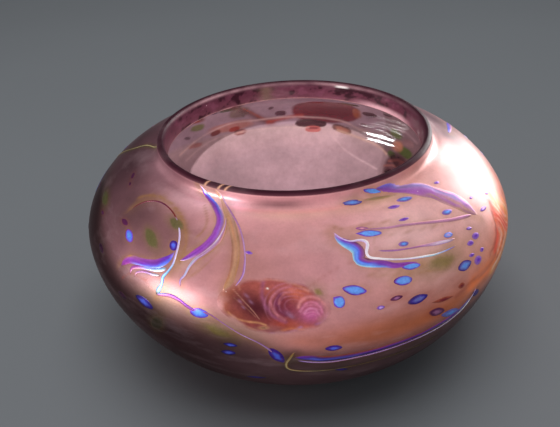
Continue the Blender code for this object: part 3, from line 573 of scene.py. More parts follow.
# Chip colours from rim to heart, halo colour, halo reach in mm, halo strength, edge softness.
KINDS = {
    "blue_l": (["plum", "purple", "blue", "sky"], "ochre", 0.9, 0.35, 0.10),
    "blue_d": (["plum", "indigo", "slate", "sky"], "ochre", 1.2, 0.45, 0.10),
    "blue_v": (["mauve", "iris", "slate", "azure"], "ochre", 1.1, 0.40, 0.14),
    "azure": (["violet", "violet", "azure", "azure"], "ochre", 1.2, 0.45, 0.10),
    "sky": (["plum", "violet", "sky", "azure"], "ochre", 1.2, 0.45, 0.10),
    "indigo": (["plum", "indigo", "deep", "blue"], "ochre", 0.9, 0.4, 0.12),
    "bright_violet": (["magenta", "violet", "blue", "azure"], "cream", 0.9, 0.3, 0.10),
    "navy": (["black", "navy", "indigo", "blue"], "moss", 1.1, 0.35, 0.16),
    "navy_v": (["plum", "navy", "indigo", "slate"], "rust", 1.3, 0.5, 0.14),
    "navy_dim": (["black", "navy", "navy", "indigo"], "moss", 1.2, 0.4, 0.25),
    "dark": (["black", "plum", "black", "plum"], "moss", 1.0, 0.35, 0.2),
    "plum": (["wine", "plum", "plum", "plum"], "rust", 0.8, 0.3, 0.2),
    "plum_b": (["rust", "plum", "plum", "mauve"], "rust", 1.3, 0.5, 0.22),
    "purple": (["mauve", "iris", "iris", "violet"], "ochre", 0.9, 0.35, 0.16),
    "violet": (["magenta", "violet", "violet", "blue"], "ochre", 0.9, 0.35, 0.16),
    "mauve": (["mauve", "mauve", "violet", "lilac"], "ochre", 0.7, 0.25, 0.30),
    "lilac": (["mauve", "iris", "azure", "lilac"], "ochre", 0.9, 0.3, 0.22),
    "rose": (["rust", "magenta", "mauve", "pink"], "ochre", 0.8, 0.35, 0.22),
    "slate": (["indigo", "slate", "slate", "sky"], "rust", 1.1, 0.4, 0.16),
    "rust": (["brown", "rust", "rust", "wine"], "rust", 1.2, 0.35, 0.35),
    "olive_f": (["olive", "green", "green", "green"], "olive", 1.4, 0.5, 0.45),
    "gold_f": (["ochre", "olive", "olive", "olive"], "olive", 2.0, 0.5, 0.75),
    "flame": (["rust", "red", "orange", "red"], "rust", 1.0, 0.4, 0.6),
    "moss_f": (["green", "moss", "moss", "moss"], "olive", 1.8, 0.5, 0.45),
}

# Halos along trails: trail, colour, reach in mm, strength, side (+1 left as walked, -1 right, 0 both).
TRAIL_HALOS = [
    ("hook_trail", "ochre", 1.6, 0.75, -1), ("hook_trail", "cream", 3.4, 0.25, 1), ("hook_ribbon", "ochre", 1.5, 0.55, 1),
    ("amber_trail", "amber", 1.8, 0.55, 0), ("arc_trail", "ochre", 2.6, 0.75, 1), ("wave_trail", "ochre", 1.4, 0.6, 1),
    ("wave_ribbon", "ochre", 1.2, 0.4, -1), ("pink_thread", "ochre", 1.4, 0.5, -1), ("base_trail", "rust", 2.0, 0.55, 1),
    ("base_trail", "moss", 2.4, 0.5, -1), ("base_thread", "moss", 2.4, 0.6, -1), ("curl_thread", "moss", 1.8, 0.6, 0),
    ("shoulder_trail", "ochre", 1.8, 0.6, -1), ("lilac_thread", "ochre", 1.2, 0.4, 0), ("zigzag_trail", "ochre", 2.4, 0.65, 0),
    ("fine_thread", "ochre", 1.1, 0.35, 0), ("rim_thread", "olive", 1.6, 0.6, 0), ("back_brown_trail", "ochre", 1.6, 0.5, 0),
    ("back_red_streak", "rust", 2.0, 0.5, 0), ("back_shoulder_trail", "ochre", 1.8, 0.5, -1), ("left_amber_thread", "ochre", 1.6, 0.5, 0),
    ("left_violet_trail", "ochre", 1.6, 0.6, 1), ("back_base_trail", "moss", 2.2, 0.5, -1), ("back_green_thread", "olive", 2.0, 0.5, 0),
]
# free ochre loops beside the trails, drawn straight into the lustre: route, width, colour, strength
STAIN_LINES = [
    ([(-56, 28.6), (-53, 31.4), (-48, 33.2), (-43, 33.2), (-38, 31.8), (-34, 29.4), (-31, 26), (-29.4, 22.6), (-29.2, 18)], 1.0, "ochre", 0.75),
    ([(-31, 36.5), (-28, 33.6), (-26.4, 30.6), (-26.6, 28.0), (-27.6, 26.0)], 0.8, "ochre", 0.55),
    ([(-25.4, 15.0), (-23.2, 17.8), (-21.6, 20.6), (-20, 23.6)], 0.6, "ochre", 0.45),
    ([(10.5, 31.6), (14, 30.2), (20, 30.6), (27, 29.4)], 0.7, "ochre", 0.45),
    ([(19.6, 24.4), (21, 26.2), (26, 25.4), (33, 24.2), (41, 22.4)], 0.6, "ochre", 0.35),
    ([(-4, 10), (8, 19.2), (20, 21.4)], 0.4, "rust", 0.2),
    ([(16, 16.4), (24, 14.2), (34, 11.6)], 1.0, "ochre", 0.35),
    ([(67, 16.5), (65, 11), (61.5, 6), (56.5, 2.6), (49, 1.4), (43, 1.6)], 4.4, "fire", 0.85),
    ([(70.5, 16), (69, 10), (66, 4), (60, -0.4), (53, -1.4)], 3.6, "gold", 0.75),
    ([(63.4, 16.4), (61.6, 12), (58.4, 7.8), (54.5, 4.8)], 3.0, "ember", 0.85),
    ([(69.5, 15), (67.4, 9.5), (64, 4.6), (59, 1.2), (53, -0.2)], 0.8, "blush", 0.9),
    ([(65.6, 15.4), (63.6, 10.4), (60.2, 6), (55.4, 3.0)], 0.7, "blush", 0.75),
    ([(66.6, 12.6), (64.4, 7.8), (60.6, 4), (55, 1.6)], 0.6, "wine", 0.65),
    ([(71.6, 12.0), (69.6, 6.6), (65.6, 1.6), (59.0, -1.2)], 0.6, "wine", 0.5),
    ([(61.2, 15), (59.4, 10.8), (56.2, 7.4), (51.6, 5.6)], 1.2, "rust", 0.5),
    ([(55, 3.4), (48, 2.2), (42, 2.8), (37, 1.4)], 1.8, "rust", 0.5),
    ([(-45, 6.0), (-43, 8.5), (-40, 9.8), (-37, 9.6)], 0.6, "rust", 0.5),
]

# Which record slot each piece takes its finish from, beyond the slots that its CAD node has.
SLOT_OF_KIND = {
    "blue_l": "blue_glass", "blue_d": "blue_glass", "azure": "blue_glass", "sky": "blue_glass", "indigo": "indigo_glass",
    "blue_v": "violet_glass", "bright_violet": "violet_glass", "violet": "violet_glass", "purple": "violet_glass",
    "navy": "navy_glass", "navy_v": "navy_glass", "navy_dim": "navy_glass", "dark": "navy_glass", "plum": "plum_glass",
    "plum_b": "plum_glass", "mauve": "mauve_glass", "lilac": "lilac_glass", "rose": "mauve_glass", "slate": "slate_glass",
    "rust": "brown_glass", "flame": "red_glass", "olive_f": "olive_glass", "gold_f": "olive_glass", "moss_f": "green_glass",
}
EXTRA_SLOTS = {
    "amber_edge": "lilac_glass", "wave_lower": "lilac_glass", "zigzag_line": "white_glass", "back_green_thread": "green_glass",
    "left_amber_thread": "amber_glass", "left_violet_trail": "violet_glass", "back_base_trail": "indigo_glass",
}
NODE_SLOTS = {part["node"]: part["material_slot"] for part in frame["record"]["subparts"]}


# ------------------------------------------------------------------ chip outlines and halos
def chip_frame(az, s, chip):
    """Local millimetres (along, across) of wall points from a chip's middle."""
    ca, cs, length, width, tilt = chip[:5]
    x, y = wrapped(az, ca) * mm_per_degree(cs), np.asarray(s) - cs
    t = math.radians(tilt)
    return x * math.cos(t) + y * math.sin(t), -x * math.sin(t) + y * math.cos(t)


def outline(theta, chip, seed):
    """Half sizes of a chip at each angle: pinched to a point where it asks, never quite regular."""
    length, width, left, right = chip[2], chip[3], chip[6], chip[7]
    c, s = np.cos(theta), np.sin(theta)
    pinch = np.where(c > 0, right, left)
    x = 0.5 * length * np.sign(c) * np.abs(c) ** (1 - 0.12 * pinch)
    y = 0.5 * width * s * (1 - pinch * np.abs(c) ** 1.7 * 0.92)
    turn = theta / (2 * math.pi)
    wobble = 1 + 0.10 * (noise(turn * 5, 0.3, seed, 5) - 0.5) + 0.07 * (noise(turn * 11, 0.7, seed + 1, 11) - 0.5)
    return x * wobble, y * wobble


# a halo is its glass thinned out over the rose
STAIN_OF = {"ochre": "stain", "olive": "stain_olive", "moss": "stain_moss", "amber": "stain"}


def halo_layers():
    layers = []
    for name, chip in list(CHIPS.items()) + list(GRIT.items()):
        _, colour, reach, strength, _ = KINDS[chip[5]]
        layers.append(("chip", chip, C[STAIN_OF.get(colour, colour)], reach, strength))
    for name, colour, reach, strength, side in TRAIL_HALOS:
        layers.append(("trail", TRAILS[name]["route"], C[STAIN_OF.get(colour, colour)], reach, strength, side))
    for route, width, colour, strength in STAIN_LINES:
        layers.append(("line", [p + (width,) for p in route], C[STAIN_OF.get(colour, colour)], width, strength))
    return layers


LAYERS = halo_layers()
HALO_GAIN = 0.62


def film(az, s):
    """How little metal shows in the skin: 1 over most of the bowl, down to 0 on its underside and left, where these are
    painted dark as shade.
    """
    az, s = np.broadcast_arrays(np.asarray(az, float), np.asarray(s, float))
    turn = wrapped(az, 0)
    edge = np.interp(turn, SHADE_AZ, SHADE_S)
    under = ramp(edge - s, -5.0, 6.0) * (1 - 0.45 * np.maximum(ramp(turn, -32, -2) * (1 - ramp(turn, 70, 100)), ramp(np.abs(turn), 96, 130)))
    left = 0.6 * ramp(-turn, 44, 78) * (1 - ramp(-turn, 130, 170)) * (1 - ramp(s, 30, 41))
    return 1 - np.clip(np.maximum(under, left), 0, 1)


def wall_colour(az, s):
    """Colour of the lustre with every halo and stain line laid in it."""
    az, s = np.broadcast_arrays(np.asarray(az, float), np.asarray(s, float))
    shape = az.shape
    az, s = az.ravel(), s.ravel()
    out = ground(az, s)
    ragged = 1 + 0.55 * cloud(az, s, 3.0, 2.6, 91, 2)
    for layer in LAYERS:
        kind, form, colour, reach, strength = layer[:5]
        if kind == "chip":
            spread = 0.5 * max(form[2], form[3]) + 3.2 * reach
            near = np.flatnonzero((np.abs(s - form[1]) < spread) & (np.abs(wrapped(az, form[0])) * mm_per_degree(form[1]) < spread))
            if not len(near):
                continue
            x, y = chip_frame(az[near], s[near], form)
            d = np.hypot(x / (0.5 * form[2]), y / (0.5 * form[3]))
            d = np.maximum(d - 0.85, 0) * 0.5 * min(form[2], form[3]) * 1.3
            t = HALO_GAIN * strength * np.exp(-((d / (0.85 * reach * ragged[near])) ** 2))
        else:
            points = np.array(form, float)
            spread = points[:, 2].max() + 3.2 * reach
            lo, hi = points[:, 1].min() - spread, points[:, 1].max() + spread
            middle = 0.5 * (points[:, 0].min() + points[:, 0].max())
            half = 0.5 * (points[:, 0].max() - points[:, 0].min()) + spread / mm_per_degree(np.clip(hi, S_FOOT, S_LIP)) + 2
            near = np.flatnonzero((s > lo) & (s < hi) & (np.abs(wrapped(az, middle)) < half))
            if not len(near):
                continue
            d, side = distance_to_route(az[near], s[near], form)
            if kind == "line":
                t = strength * np.exp(-((d / (0.5 * reach * ragged[near])) ** 2))
            else:
                inside = 0.35 * points[:, 2].mean()
                t = HALO_GAIN * strength * np.exp(-((np.maximum(d - inside, 0) / (0.8 * reach * ragged[near])) ** 2))
                if layer[5]:
                    t = t * np.where(side * layer[5] > 0, 1.0, 0.25)
        out[near] = mix(out[near], colour, np.clip(t, 0, 1))
    return out.reshape(shape + (3,))


# ------------------------------------------------------------------ meshes
def make_object(name, points, faces, tints, materials, which=None, smooth=True, tidy=True):
    """A mesh in metres with its per-corner-point colour; points come in millimetres."""
    mesh = bpy.data.meshes.new(name)
    mesh.from_pydata((np.asarray(points) / 1000.0).tolist(), [], faces)
    if tidy:
        work = bmesh.new()
        work.from_mesh(mesh)
        bmesh.ops.recalc_face_normals(work, faces=work.faces)
        work.to_mesh(mesh)
        work.free()
    mesh.update()
    layer = mesh.color_attributes.new("tint", "FLOAT_COLOR", "POINT")
    flat = np.ones((len(points), 4), np.float32)
    flat[:, :tints.shape[1]] = tints
    layer.data.foreach_set("color", flat.ravel())
    for material in materials:
        mesh.materials.append(material)
    if which is not None:
        mesh.polygons.foreach_set("material_index", np.asarray(which, np.int32))
    mesh.polygons.foreach_set("use_smooth", np.full(len(mesh.polygons), smooth))
    mesh.update()
    obj = bpy.data.objects.new(name, mesh)
    bpy.context.scene.collection.objects.link(obj)
    return obj


# the underside of a piece shows through the clear lining, brightened by the light that its glass lets in
INSIDE_GAIN = np.array([1.7, 1.6, 1.6, 1.0])


def across(stops, w):
    """Colour across a trail, 0 at its left edge to 1 at its right, from named stops."""
    colours = np.array([C[k] for k in stops])
    at = (np.arange(len(stops)) + 0.5) / len(stops)
    return np.stack([np.interp(w, at, colours[:, k]) for k in range(3)], -1)


def strip(name, spec, seed, rows=13, step=0.5, proud=0.13, sink=0.45):
    """A trail: a closed ribbon let into the wall, domed a little, its colours running along it."""
    path, length = even_route(spec["route"], step)
    n = len(path)
    az, s, width = path[:, 0], np.minimum(path[:, 1], S_LIP - 0.2), path[:, 2]
    k = mm_per_degree(s)
    da, ds = np.gradient(az) * k, np.gradient(s)
    size = np.hypot(da, ds) + 1e-9
    left = np.stack([-ds / size, da / size], 1)
    t = np.linspace(0, 1, n)
    ends = np.sqrt(np.clip(np.minimum(t, 1 - t) * length / (0.55 * width.max() + 0.2), 0, 1))
    waver = 1 + 0.16 * (noise(t * length / 3.2, 0.5, seed) - 0.5) * 2 * 0.8
    half = 0.5 * width * (0.12 + 0.88 * ends) * waver
    shift = 0.10 * width * (noise(t * length / 4.5, 3.5, seed + 3) - 0.5) * 2
    w = np.linspace(-1, 1, rows)
    gx = left[:, 0][:, None] * (half[:, None] * w[None, :] + shift[:, None])
    gy = left[:, 1][:, None] * (half[:, None] * w[None, :] + shift[:, None])
    grid_az = az[:, None] - gx * -1 / k[:, None]
    grid_s = s[:, None] + gy
    grid_s = np.minimum(grid_s, S_LIP - 0.1)
    dome = proud * (1 - np.abs(w) ** 3.0)[None, :] * (0.25 + 0.75 * ends)[:, None] - 0.035
    top = on_wall(grid_az, grid_s, dome)
    bottom = on_wall(grid_az, grid_s, -sink + 0 * dome)

    stops = np.array([row[0] for row in spec["table"]])
    run = t + 0.02 * np.sin(t * 23.0 + seed)
    u = 0.5 - 0.5 * w[None, :] + 0 * run[:, None]
    u = np.clip(u + 0.16 * (noise(run[:, None] * length / 2.6, w[None, :] * 1.2 + 5, seed + 5) - 0.5), 0, 1)
    rows_at = [across(row[1], u) for row in spec["table"]]
    colour = np.zeros(u.shape + (3,))
    for i in range(len(stops) - 1):
        f = np.clip((run - stops[i]) / (stops[i + 1] - stops[i]), 0, 1)
        chosen = (run >= stops[i]) if i else np.ones(n, bool)
        chosen = chosen & ((run <= stops[i + 1]) if i < len(stops) - 2 else True)
        blend = mix(rows_at[i], rows_at[i + 1], np.broadcast_to(f[:, None], u.shape))
        colour = np.where(chosen[:, None, None], blend, colour)
    streak = 1 + 0.34 * (noise(run[:, None] * length / 5.0, w[None, :] * 4.5 + 9, seed + 7) - 0.5)
    colour = np.clip(colour * streak[..., None], 0, 1)
    under = wall_colour(grid_az, grid_s)
    edge = ramp(np.abs(w), 0.66, 1.0)[None, :] * spec.get("soft", 0.8) + 0 * u
    fade = 1 - ramp(np.minimum(t, 1 - t) * length, 0.0, 1.6)
    cover = (1 - np.clip(np.maximum(edge, fade[:, None] * 0.9), 0, 1)) * spec.get("strength", 1.0)
    colour = mix(under, colour, cover)

    colour = np.concatenate([colour, film(grid_az, grid_s)[..., None]], -1)
    points = np.concatenate([top.reshape(-1, 3), bottom.reshape(-1, 3)])
    tints = np.concatenate([colour.reshape(-1, 4), np.clip(colour.reshape(-1, 4) * INSIDE_GAIN, 0, 1)])
    below = n * rows
    faces = []
    for i in range(n - 1):
        for j in range(rows - 1):
            a = i * rows + j
            faces.append((a, a + 1, a + rows + 1, a + rows))
            faces.append((below + a, below + a + rows, below + a + rows + 1, below + a + 1))
        for j, flip in ((0, False), (rows - 1, True)):
            a, b = i * rows + j, (i + 1) * rows + j
            quad = (a, b, below + b, below + a)
            faces.append(quad[::-1] if flip else quad)
    for i, flip in ((0, True), (n - 1, False)):
        for j in range(rows - 1):
            a = i * rows + j
            quad = (a, a + 1, below + a + 1, below + a)
            faces.append(quad[::-1] if flip else quad)
    return points, faces, tints


def blob(name, chip, seed, paint=None, rings=9, turns=44, proud=0.16, sink=0.45, gain=1.0):
    """A chip, patch or prunt: a low lens let into the wall."""
    kind = KINDS.get(chip[5])
    theta = np.arange(turns) / turns * 2 * math.pi
    ox, oy = outline(theta, chip, seed)
    rho = np.linspace(0, 1, rings + 1)[1:] ** 0.85
    t = math.radians(chip[4])
    x = np.concatenate([[0.0], (rho[:, None] * ox[None, :]).ravel()])
    y = np.concatenate([[0.0], (rho[:, None] * oy[None, :]).ravel()])
    r = np.concatenate([[0.0], np.repeat(rho, turns)])
    wall_x, wall_y = x * math.cos(t) - y * math.sin(t), x * math.sin(t) + y * math.cos(t)
    s = np.minimum(chip[1] + wall_y, S_LIP - 0.3)
    az = chip[0] + wall_x / mm_per_degree(chip[1])
    lift = proud * (1 - r**2.6) - 0.035
    top = on_wall(az, s, lift)
    if paint:
        colour, cover = paint(x / (0.5 * chip[2]), y / (0.5 * chip[3]), r)
    else:
        ramp_colours = np.array([C[k] for k in kind[0]])
        depth = np.clip((1 - r) * 1.25 + 0.22 * (noise(x * 1.1 + 3, y * 1.4 + 7, seed + 9) - 0.5) + 0.16 * x / chip[2], 0, 1)
        at = np.array([0.0, 0.22, 0.5, 1.0])
        colour = np.stack([np.interp(depth, at, ramp_colours[:, k]) for k in range(3)], -1)
        colour = colour * (1 + 0.22 * (noise(x * 2.6, y * 2.6, seed + 11) - 0.5))[:, None]
        soft = kind[4]
        cover = 1 - ramp(r + 0.25 * soft * (noise(x * 0.9, y * 0.9 + 2, seed + 15) - 0.5), 1 - soft, 1.0)
        if soft > 0.4:
            cover = cover * 0.72
    colour = mix(wall_colour(az, s), np.clip(colour, 0, 1), np.clip(cover, 0, 1))
    colour = np.concatenate([colour, film(az, s)[..., None]], -1)
    bottom = on_wall(az, s, -sink + 0 * lift)
    points = np.concatenate([top, bottom])
    tints = np.concatenate([colour, np.clip(colour * (1 + (INSIDE_GAIN - 1) * gain), 0, 1)])
    base = len(top)
    faces = []
    for j in range(turns):
        k = (j + 1) % turns
        faces.append((0, 1 + j, 1 + k))
        faces.append((base, base + 1 + k, base + 1 + j))
        for i in range(rings - 1):
            a = 1 + i * turns
            faces.append((a + j, a + turns + j, a + turns + k, a + k))
            faces.append((base + a + k, base + a + turns + k, base + a + turns + j, base + a + j))
        a = 1 + (rings - 1) * turns
        faces.append((a + j, base + a + j, base + a + k, a + k))
    return points, faces, tints


# ------------------------------------------------------------------ prunts
def near_line(x, y, points):
    """Distance from local points to a polyline, both in -1..1 units stretched to the prunt's shape."""
    best = np.full(np.shape(x), 1e9)
    p = smooth_route([q + (0.0,) for q in points], 8)[:, :2]
    for (ax, ay), (bx, by) in zip(p[:-1], p[1:]):
        dx, dy = bx - ax, by - ay
        t = np.clip(((x - ax) * dx + (y - ay) * dy) / (dx * dx + dy * dy + 1e-9), 0, 1)
        best = np.minimum(best, np.hypot(x - ax - t * dx, y - ay - t * dy))
    return best


def front_prunt(x, y, r):
    """Shell prunt: oxblood heart, fire-red brow, two swirled whorls of pink and lilac, golden scratches."""
    gx, gy = x * 16.0, y * 8.1          # local millimetres
    col = np.broadcast_to(rgb(138, 66, 66), x.shape + (3,)).copy()

    def spot(cx, cy, wx, wy, colour, strength, turn=0.0):
        nonlocal col
        c, s = math.cos(math.radians(turn)), math.sin(math.radians(turn))
        dx, dy = gx - cx, gy - cy
        u, v = (dx * c + dy * s) / wx, (-dx * s + dy * c) / wy
        col = mix(col, colour, strength * np.exp(-(u * u + v * v)))

    def line(points, width, colour, strength, soft=1.0):
        nonlocal col
        d = near_line(gx, gy, points)
        broken = 0.65 + 0.7 * noise(gx * 0.9, gy * 0.9, 61)
        col = mix(col, colour, np.clip(strength * broken, 0, 1) * np.exp(-((d / width) ** 2)) * soft)

    spot(-13.0, 3.4, 3.4, 3.0, rgb(156, 88, 66), 0.85)
    spot(-13.6, -0.6, 2.2, 3.0, rgb(168, 98, 78), 0.8)
    spot(-9.0, -3.4, 4.4, 2.0, rgb(146, 74, 58), 0.7)
    spot(-2.6, 4.8, 6.5, 2.4, rgb(178, 92, 82), 0.85, -4)
    spot(2.2, 5.6, 3.0, 1.6, rgb(172, 94, 104), 0.6, -10)
    spot(6.2, 4.6, 4.4, 1.9, rgb(198, 104, 84), 0.9, -18)
    spot(-4.6, -0.6, 5.8, 3.4, rgb(72, 26, 36), 0.95, -12)
    spot(-9.6, 0.8, 2.4, 1.8, rgb(104, 50, 50), 0.6)
    spot(3.0, 1.6, 1.9, 3.4, rgb(116, 44, 62), 0.75, 24)
    spot(4.2, -0.6, 2.2, 1.6, rgb(128, 44, 62), 0.6)
    spot(3.4, -3.9, 3.6, 1.4, rgb(164, 66, 54), 0.8)
    spot(8.6, -4.8, 4.6, 1.7, rgb(192, 98, 72), 0.8)
    spot(10.4, -0.8, 4.0, 3.2, rgb(180, 92, 124), 0.85)
    spot(10.2, -1.2, 2.2, 1.6, rgb(192, 98, 152), 0.7)
    spot(13.2, 2.0, 1.8, 1.6, rgb(190, 120, 138), 0.6)
    # whorls: soft rings drawn round two hearts, broken by the noise of the pull
    for (cx, cy, ex, ey), colour, gap, start, end, lean in (
        ((5.4, 0.9, 1.25, 1.0), rgb(196, 122, 148), 1.15, 1.6, 7.4, 1.0),
        ((10.4, -1.9, 1.15, 1.0), rgb(216, 138, 168), 0.95, 0.8, 4.8, 0.8),
    ):
        dx, dy = (gx - cx) / ex, (gy - cy) / ey
        d = np.hypot(dx, dy) + 0.7 * (noise(gx * 0.45, gy * 0.45, 17) - 0.5)
        angle = np.arctan2(dy, dx)
        wave = (0.5 + 0.5 * np.cos(2 * math.pi * (d - start) / gap)) ** 3
        patchy = 0.35 + 1.0 * noise(gx * 0.5 + 9, gy * 0.5, 18)
        facing = ramp(np.cos(angle - (2.4 if lean == 1.0 else 1.3)), -0.3, 0.6)
        inside = ramp(d, start - 0.4, start + 0.2) * (1 - ramp(d, end - 1.6, end))
        col = mix(col, colour, np.clip(0.46 * wave * patchy * facing * inside, 0, 1))
    line([(-3.4, 6.4), (-3.2, 3.4), (-2.0, 0.4), (0.2, -2.0), (3.6, -3.4)], 0.60, rgb(150, 84, 118), 0.55)
    line([(4.4, 6.2), (1.2, 4.6), (-0.6, 1.8), (0.6, -1.0), (3.4, -2.9)], 0.42, rgb(190, 110, 122), 0.7)
    line([(5.8, 5.4), (3.4, 4.4), (1.8, 2.8), (1.5, 1.2)], 0.34, rgb(200, 118, 120), 0.55)
    line([(1.6, 3.6), (0.9, 1.6), (1.9, -0.4), (3.4, -1.4)], 0.8, rgb(106, 44, 84), 0.5)
    line([(6.8, 0.8), (7.6, 2.6), (9.6, 3.6), (12.2, 3.1), (14.2, 1.0), (14.4, -1.8)], 0.46, rgb(208, 128, 132), 0.8)
    line([(7.4, -0.4), (8.4, 1.4), (10.2, 2.2), (12.2, 1.4), (13.2, -0.6)], 0.34, rgb(208, 124, 156), 0.6)
    line([(8.4, -0.8), (9.6, 0.5), (11.2, 0.4), (12.2, -1.0)], 0.30, rgb(214, 134, 170), 0.55)
    line([(11.6, -3.8), (13.4, -3.0), (14.6, -0.8)], 0.40, rgb(156, 92, 150), 0.6)
    line([(-11.6, 3.2), (-8.4, 1.0), (-5.2, -1.4), (-3.2, -3.4)], 0.12, rgb(186, 128, 112), 0.6)
    line([(-10.8, 1.0), (-7.0, -1.0), (-4.2, -3.0)], 0.13, rgb(170, 112, 96), 0.4)
    line([(-11.8, -3.2), (-9.6, -4.4), (-6.4, -4.7), (-3.4, -4.5), (-1.4, -4.9)], 0.30, rgb(194, 132, 94), 0.75)
    line([(-14.6, 0.4), (-13.6, -2.2), (-11.8, -3.8), (-9.0, -5.6), (-4.0, -6.8)], 0.34, rgb(170, 110, 84), 0.6)
    line([(-14.2, 2.2), (-11.8, 5.2), (-7.6, 6.6), (-2.0, 7.4), (4.0, 7.2), (9.4, 5.0)], 0.40, rgb(204, 132, 118), 0.55)
    line([(-11.6, 5.6), (-10.4, 4.6), (-9.6, 3.4)], 0.24, rgb(196, 126, 104), 0.55)
    line([(0.2, -7.4), (3.8, -7.0), (6.2, -5.8), (7.6, -4.8)], 0.50, rgb(186, 128, 168), 0.7)
    line([(3.0, -6.0), (5.6, -5.2), (9.6, -5.8)], 0.36, rgb(214, 124, 84), 0.6)
    for cx, cy, size in ((-7.4, 2.2, 0.55), (-6.0, 0.8, 0.5), (-9.0, 0.4, 0.45), (-7.8, -1.0, 0.4), (4.6, -1.2, 0.95), (5.0, -1.8, 0.6)):
        spot(cx, cy, size * 1.5, size * 0.7, rgb(160, 116, 150), 0.42, -30)
    spot(-1.9, 4.9, 0.28, 0.24, rgb(255, 240, 235), 0.95)
    spot(-1.9, -5.8, 1.2, 0.46, rgb(206, 150, 100), 0.8, 14)
    spot(-1.9, -5.8, 0.6, 0.24, rgb(52, 28, 18), 0.95, 14)
    grain = noise(gx * 1.3, gy * 1.3, 23) * 0.6 + noise(gx * 3.1, gy * 3.1, 24) * 0.4
    col = col * (0.76 + 0.30 * grain)[:, None]
    cover = 1 - ramp(r + 0.16 * (noise(gx * 0.5, gy * 0.5, 29) - 0.5), 0.78, 1.0)
    return col, cover


def back_prunt(x, y, r):
    """Deep red patch on the far wall, orange at one end, drawn into fine feathers."""
    gx, gy = x * 15.5, y * 6.0
    col = np.broadcast_to(rgb(122, 28, 38), x.shape + (3,)).copy()
    col = mix(col, rgb(206, 92, 52), ramp(-gx, 9.5, 14.5) * 0.8)
    col = mix(col, rgb(88, 16, 30), np.exp(-(((gx - 5) / 6.0) ** 2 + (gy / 2.6) ** 2)) * 0.6)
    feather = np.cos(gx * 2.2 + 0.5 * gy * gy + 3.0 * noise(gx * 0.4, gy * 0.4, 41)) ** 6
    col = mix(col, rgb(186, 84, 88), feather * 0.22)
    col = col * (0.8 + 0.4 * noise(gx * 1.8, gy * 1.8, 43))[:, None]
    return col, 1 - ramp(r + 0.16 * (noise(gx * 0.6, gy * 0.6, 45) - 0.5), 0.76, 1.0)


def right_prunt(x, y, r):
    """Fire-orange patch by the right edge, streaked with white and rose."""
    gx, gy = x * 10.0, y * 8.8
    lean = gx + 0.55 * gy - 0.03 * gy * gy
    col = np.broadcast_to(rgb(244, 132, 76), x.shape + (3,)).copy()
    col = mix(col, rgb(232, 80, 58), np.exp(-(((lean + 4.4) / 2.6) ** 2)) * 0.9)
    col = mix(col, rgb(238, 168, 92), np.exp(-(((lean - 5.0) / 3.0) ** 2)) * 0.8)
    warp = 7.0 * noise(gx * 0.16, gy * 0.10, 51)
    streak = np.cos(lean * 0.95 + warp) ** 6 * (0.25 + 1.1 * noise(gx * 0.35 + 4, gy * 0.2, 58))
    col = mix(col, rgb(252, 206, 186), np.clip(streak, 0, 1) * 0.55)
    thread = np.cos(lean * 1.1 + 1.0 + 8.0 * noise(gx * 0.14, gy * 0.08, 52)) ** 20 * noise(gx * 0.4, gy * 0.3, 59)
    col = mix(col, rgb(150, 52, 40), np.clip(thread, 0, 1) * 0.5)
    col = mix(col, rgb(236, 140, 138), ramp(noise(gx * 0.4, gy * 0.25, 53), 0.52, 0.9) * 0.5)
    col = col * (0.88 + 0.24 * noise(gx * 1.7, gy * 0.9, 55))[:, None]
    return col, (1 - ramp(r + 0.34 * (noise(gx * 0.5, gy * 0.4, 57) - 0.5), 0.66, 1.0)) * 0.95


PRUNTS = {
    "shell_prunt_front": ((-5.6, 10.0, 32.0, 16.2, -4.5, "plum", 0.05, 0.10), front_prunt, 60, 150),
    "shell_prunt_back": ((167.0, 6.0, 31.5, 12.2, 1.0, "plum", 0.15, 0.15), back_prunt, 34, 110),
    "shell_prunt_right": ((66.6, 9.6, 20.0, 17.6, 0.0, "plum", 0.1, 0.1), right_prunt, 34, 100),
}


# ------------------------------------------------------------------ materials
def noise_node(nt, coords, scale, detail, rough=0.55, stretch=None):
    vector = coords
    if stretch:
        mapping = nt.nodes.new("ShaderNodeMapping")
        mapping.inputs["Scale"].default_value = stretch
        nt.links.new(coords, mapping.inputs["Vector"])
        vector = mapping.outputs["Vector"]
    node = nt.nodes.new("ShaderNodeTexNoise")
    node.inputs["Scale"].default_value = scale
    node.inputs["Detail"].default_value = detail
    node.inputs["Roughness"].default_value = rough
    nt.links.new(vector, node.inputs["Vector"])
    return node.outputs["Fac"]


def map_range(nt, value, lo, hi, to_lo, to_hi):
    node = nt.nodes.new("ShaderNodeMapRange")
    for key, v in (("From Min", lo), ("From Max", hi), ("To Min", to_lo), ("To Max", to_hi)):
        node.inputs[key].default_value = v
    nt.links.new(value, node.inputs["Value"])
    return node.outputs["Result"]


def times(nt, colour, value):
    """A colour scaled by a number."""
    node = nt.nodes.new("ShaderNodeVectorMath")
    node.operation = "SCALE"
    nt.links.new(colour, node.inputs[0])
    nt.links.new(value, node.inputs["Scale"])
    return node.outputs[0]


def math_node(nt, op, a, b):
    node = nt.nodes.new("ShaderNodeMath")
    node.operation = op
    for i, v in enumerate((a, b)):
        if isinstance(v, (int, float)):
            node.inputs[i].default_value = v
        else:
            nt.links.new(v, node.inputs[i])
    return node.outputs[0]


def colour_mix(nt, fac, a, b):
    node = nt.nodes.new("ShaderNodeMix")
    node.data_type = "RGBA"
    for key, v in (("Factor", fac), ("A", a), ("B", b)):
        target = [i for i in node.inputs if i.name == key and (key == "Factor" and i.type == "VALUE" or i.type == "RGBA")][0]
        if isinstance(v, (int, float)):
            target.default_value = v
        elif isinstance(v, (tuple, list, np.ndarray)):
            target.default_value = tuple(v[:3]) + (1.0,)
        else:
            nt.links.new(v, target)
    return [o for o in node.outputs if o.type == "RGBA"][0]


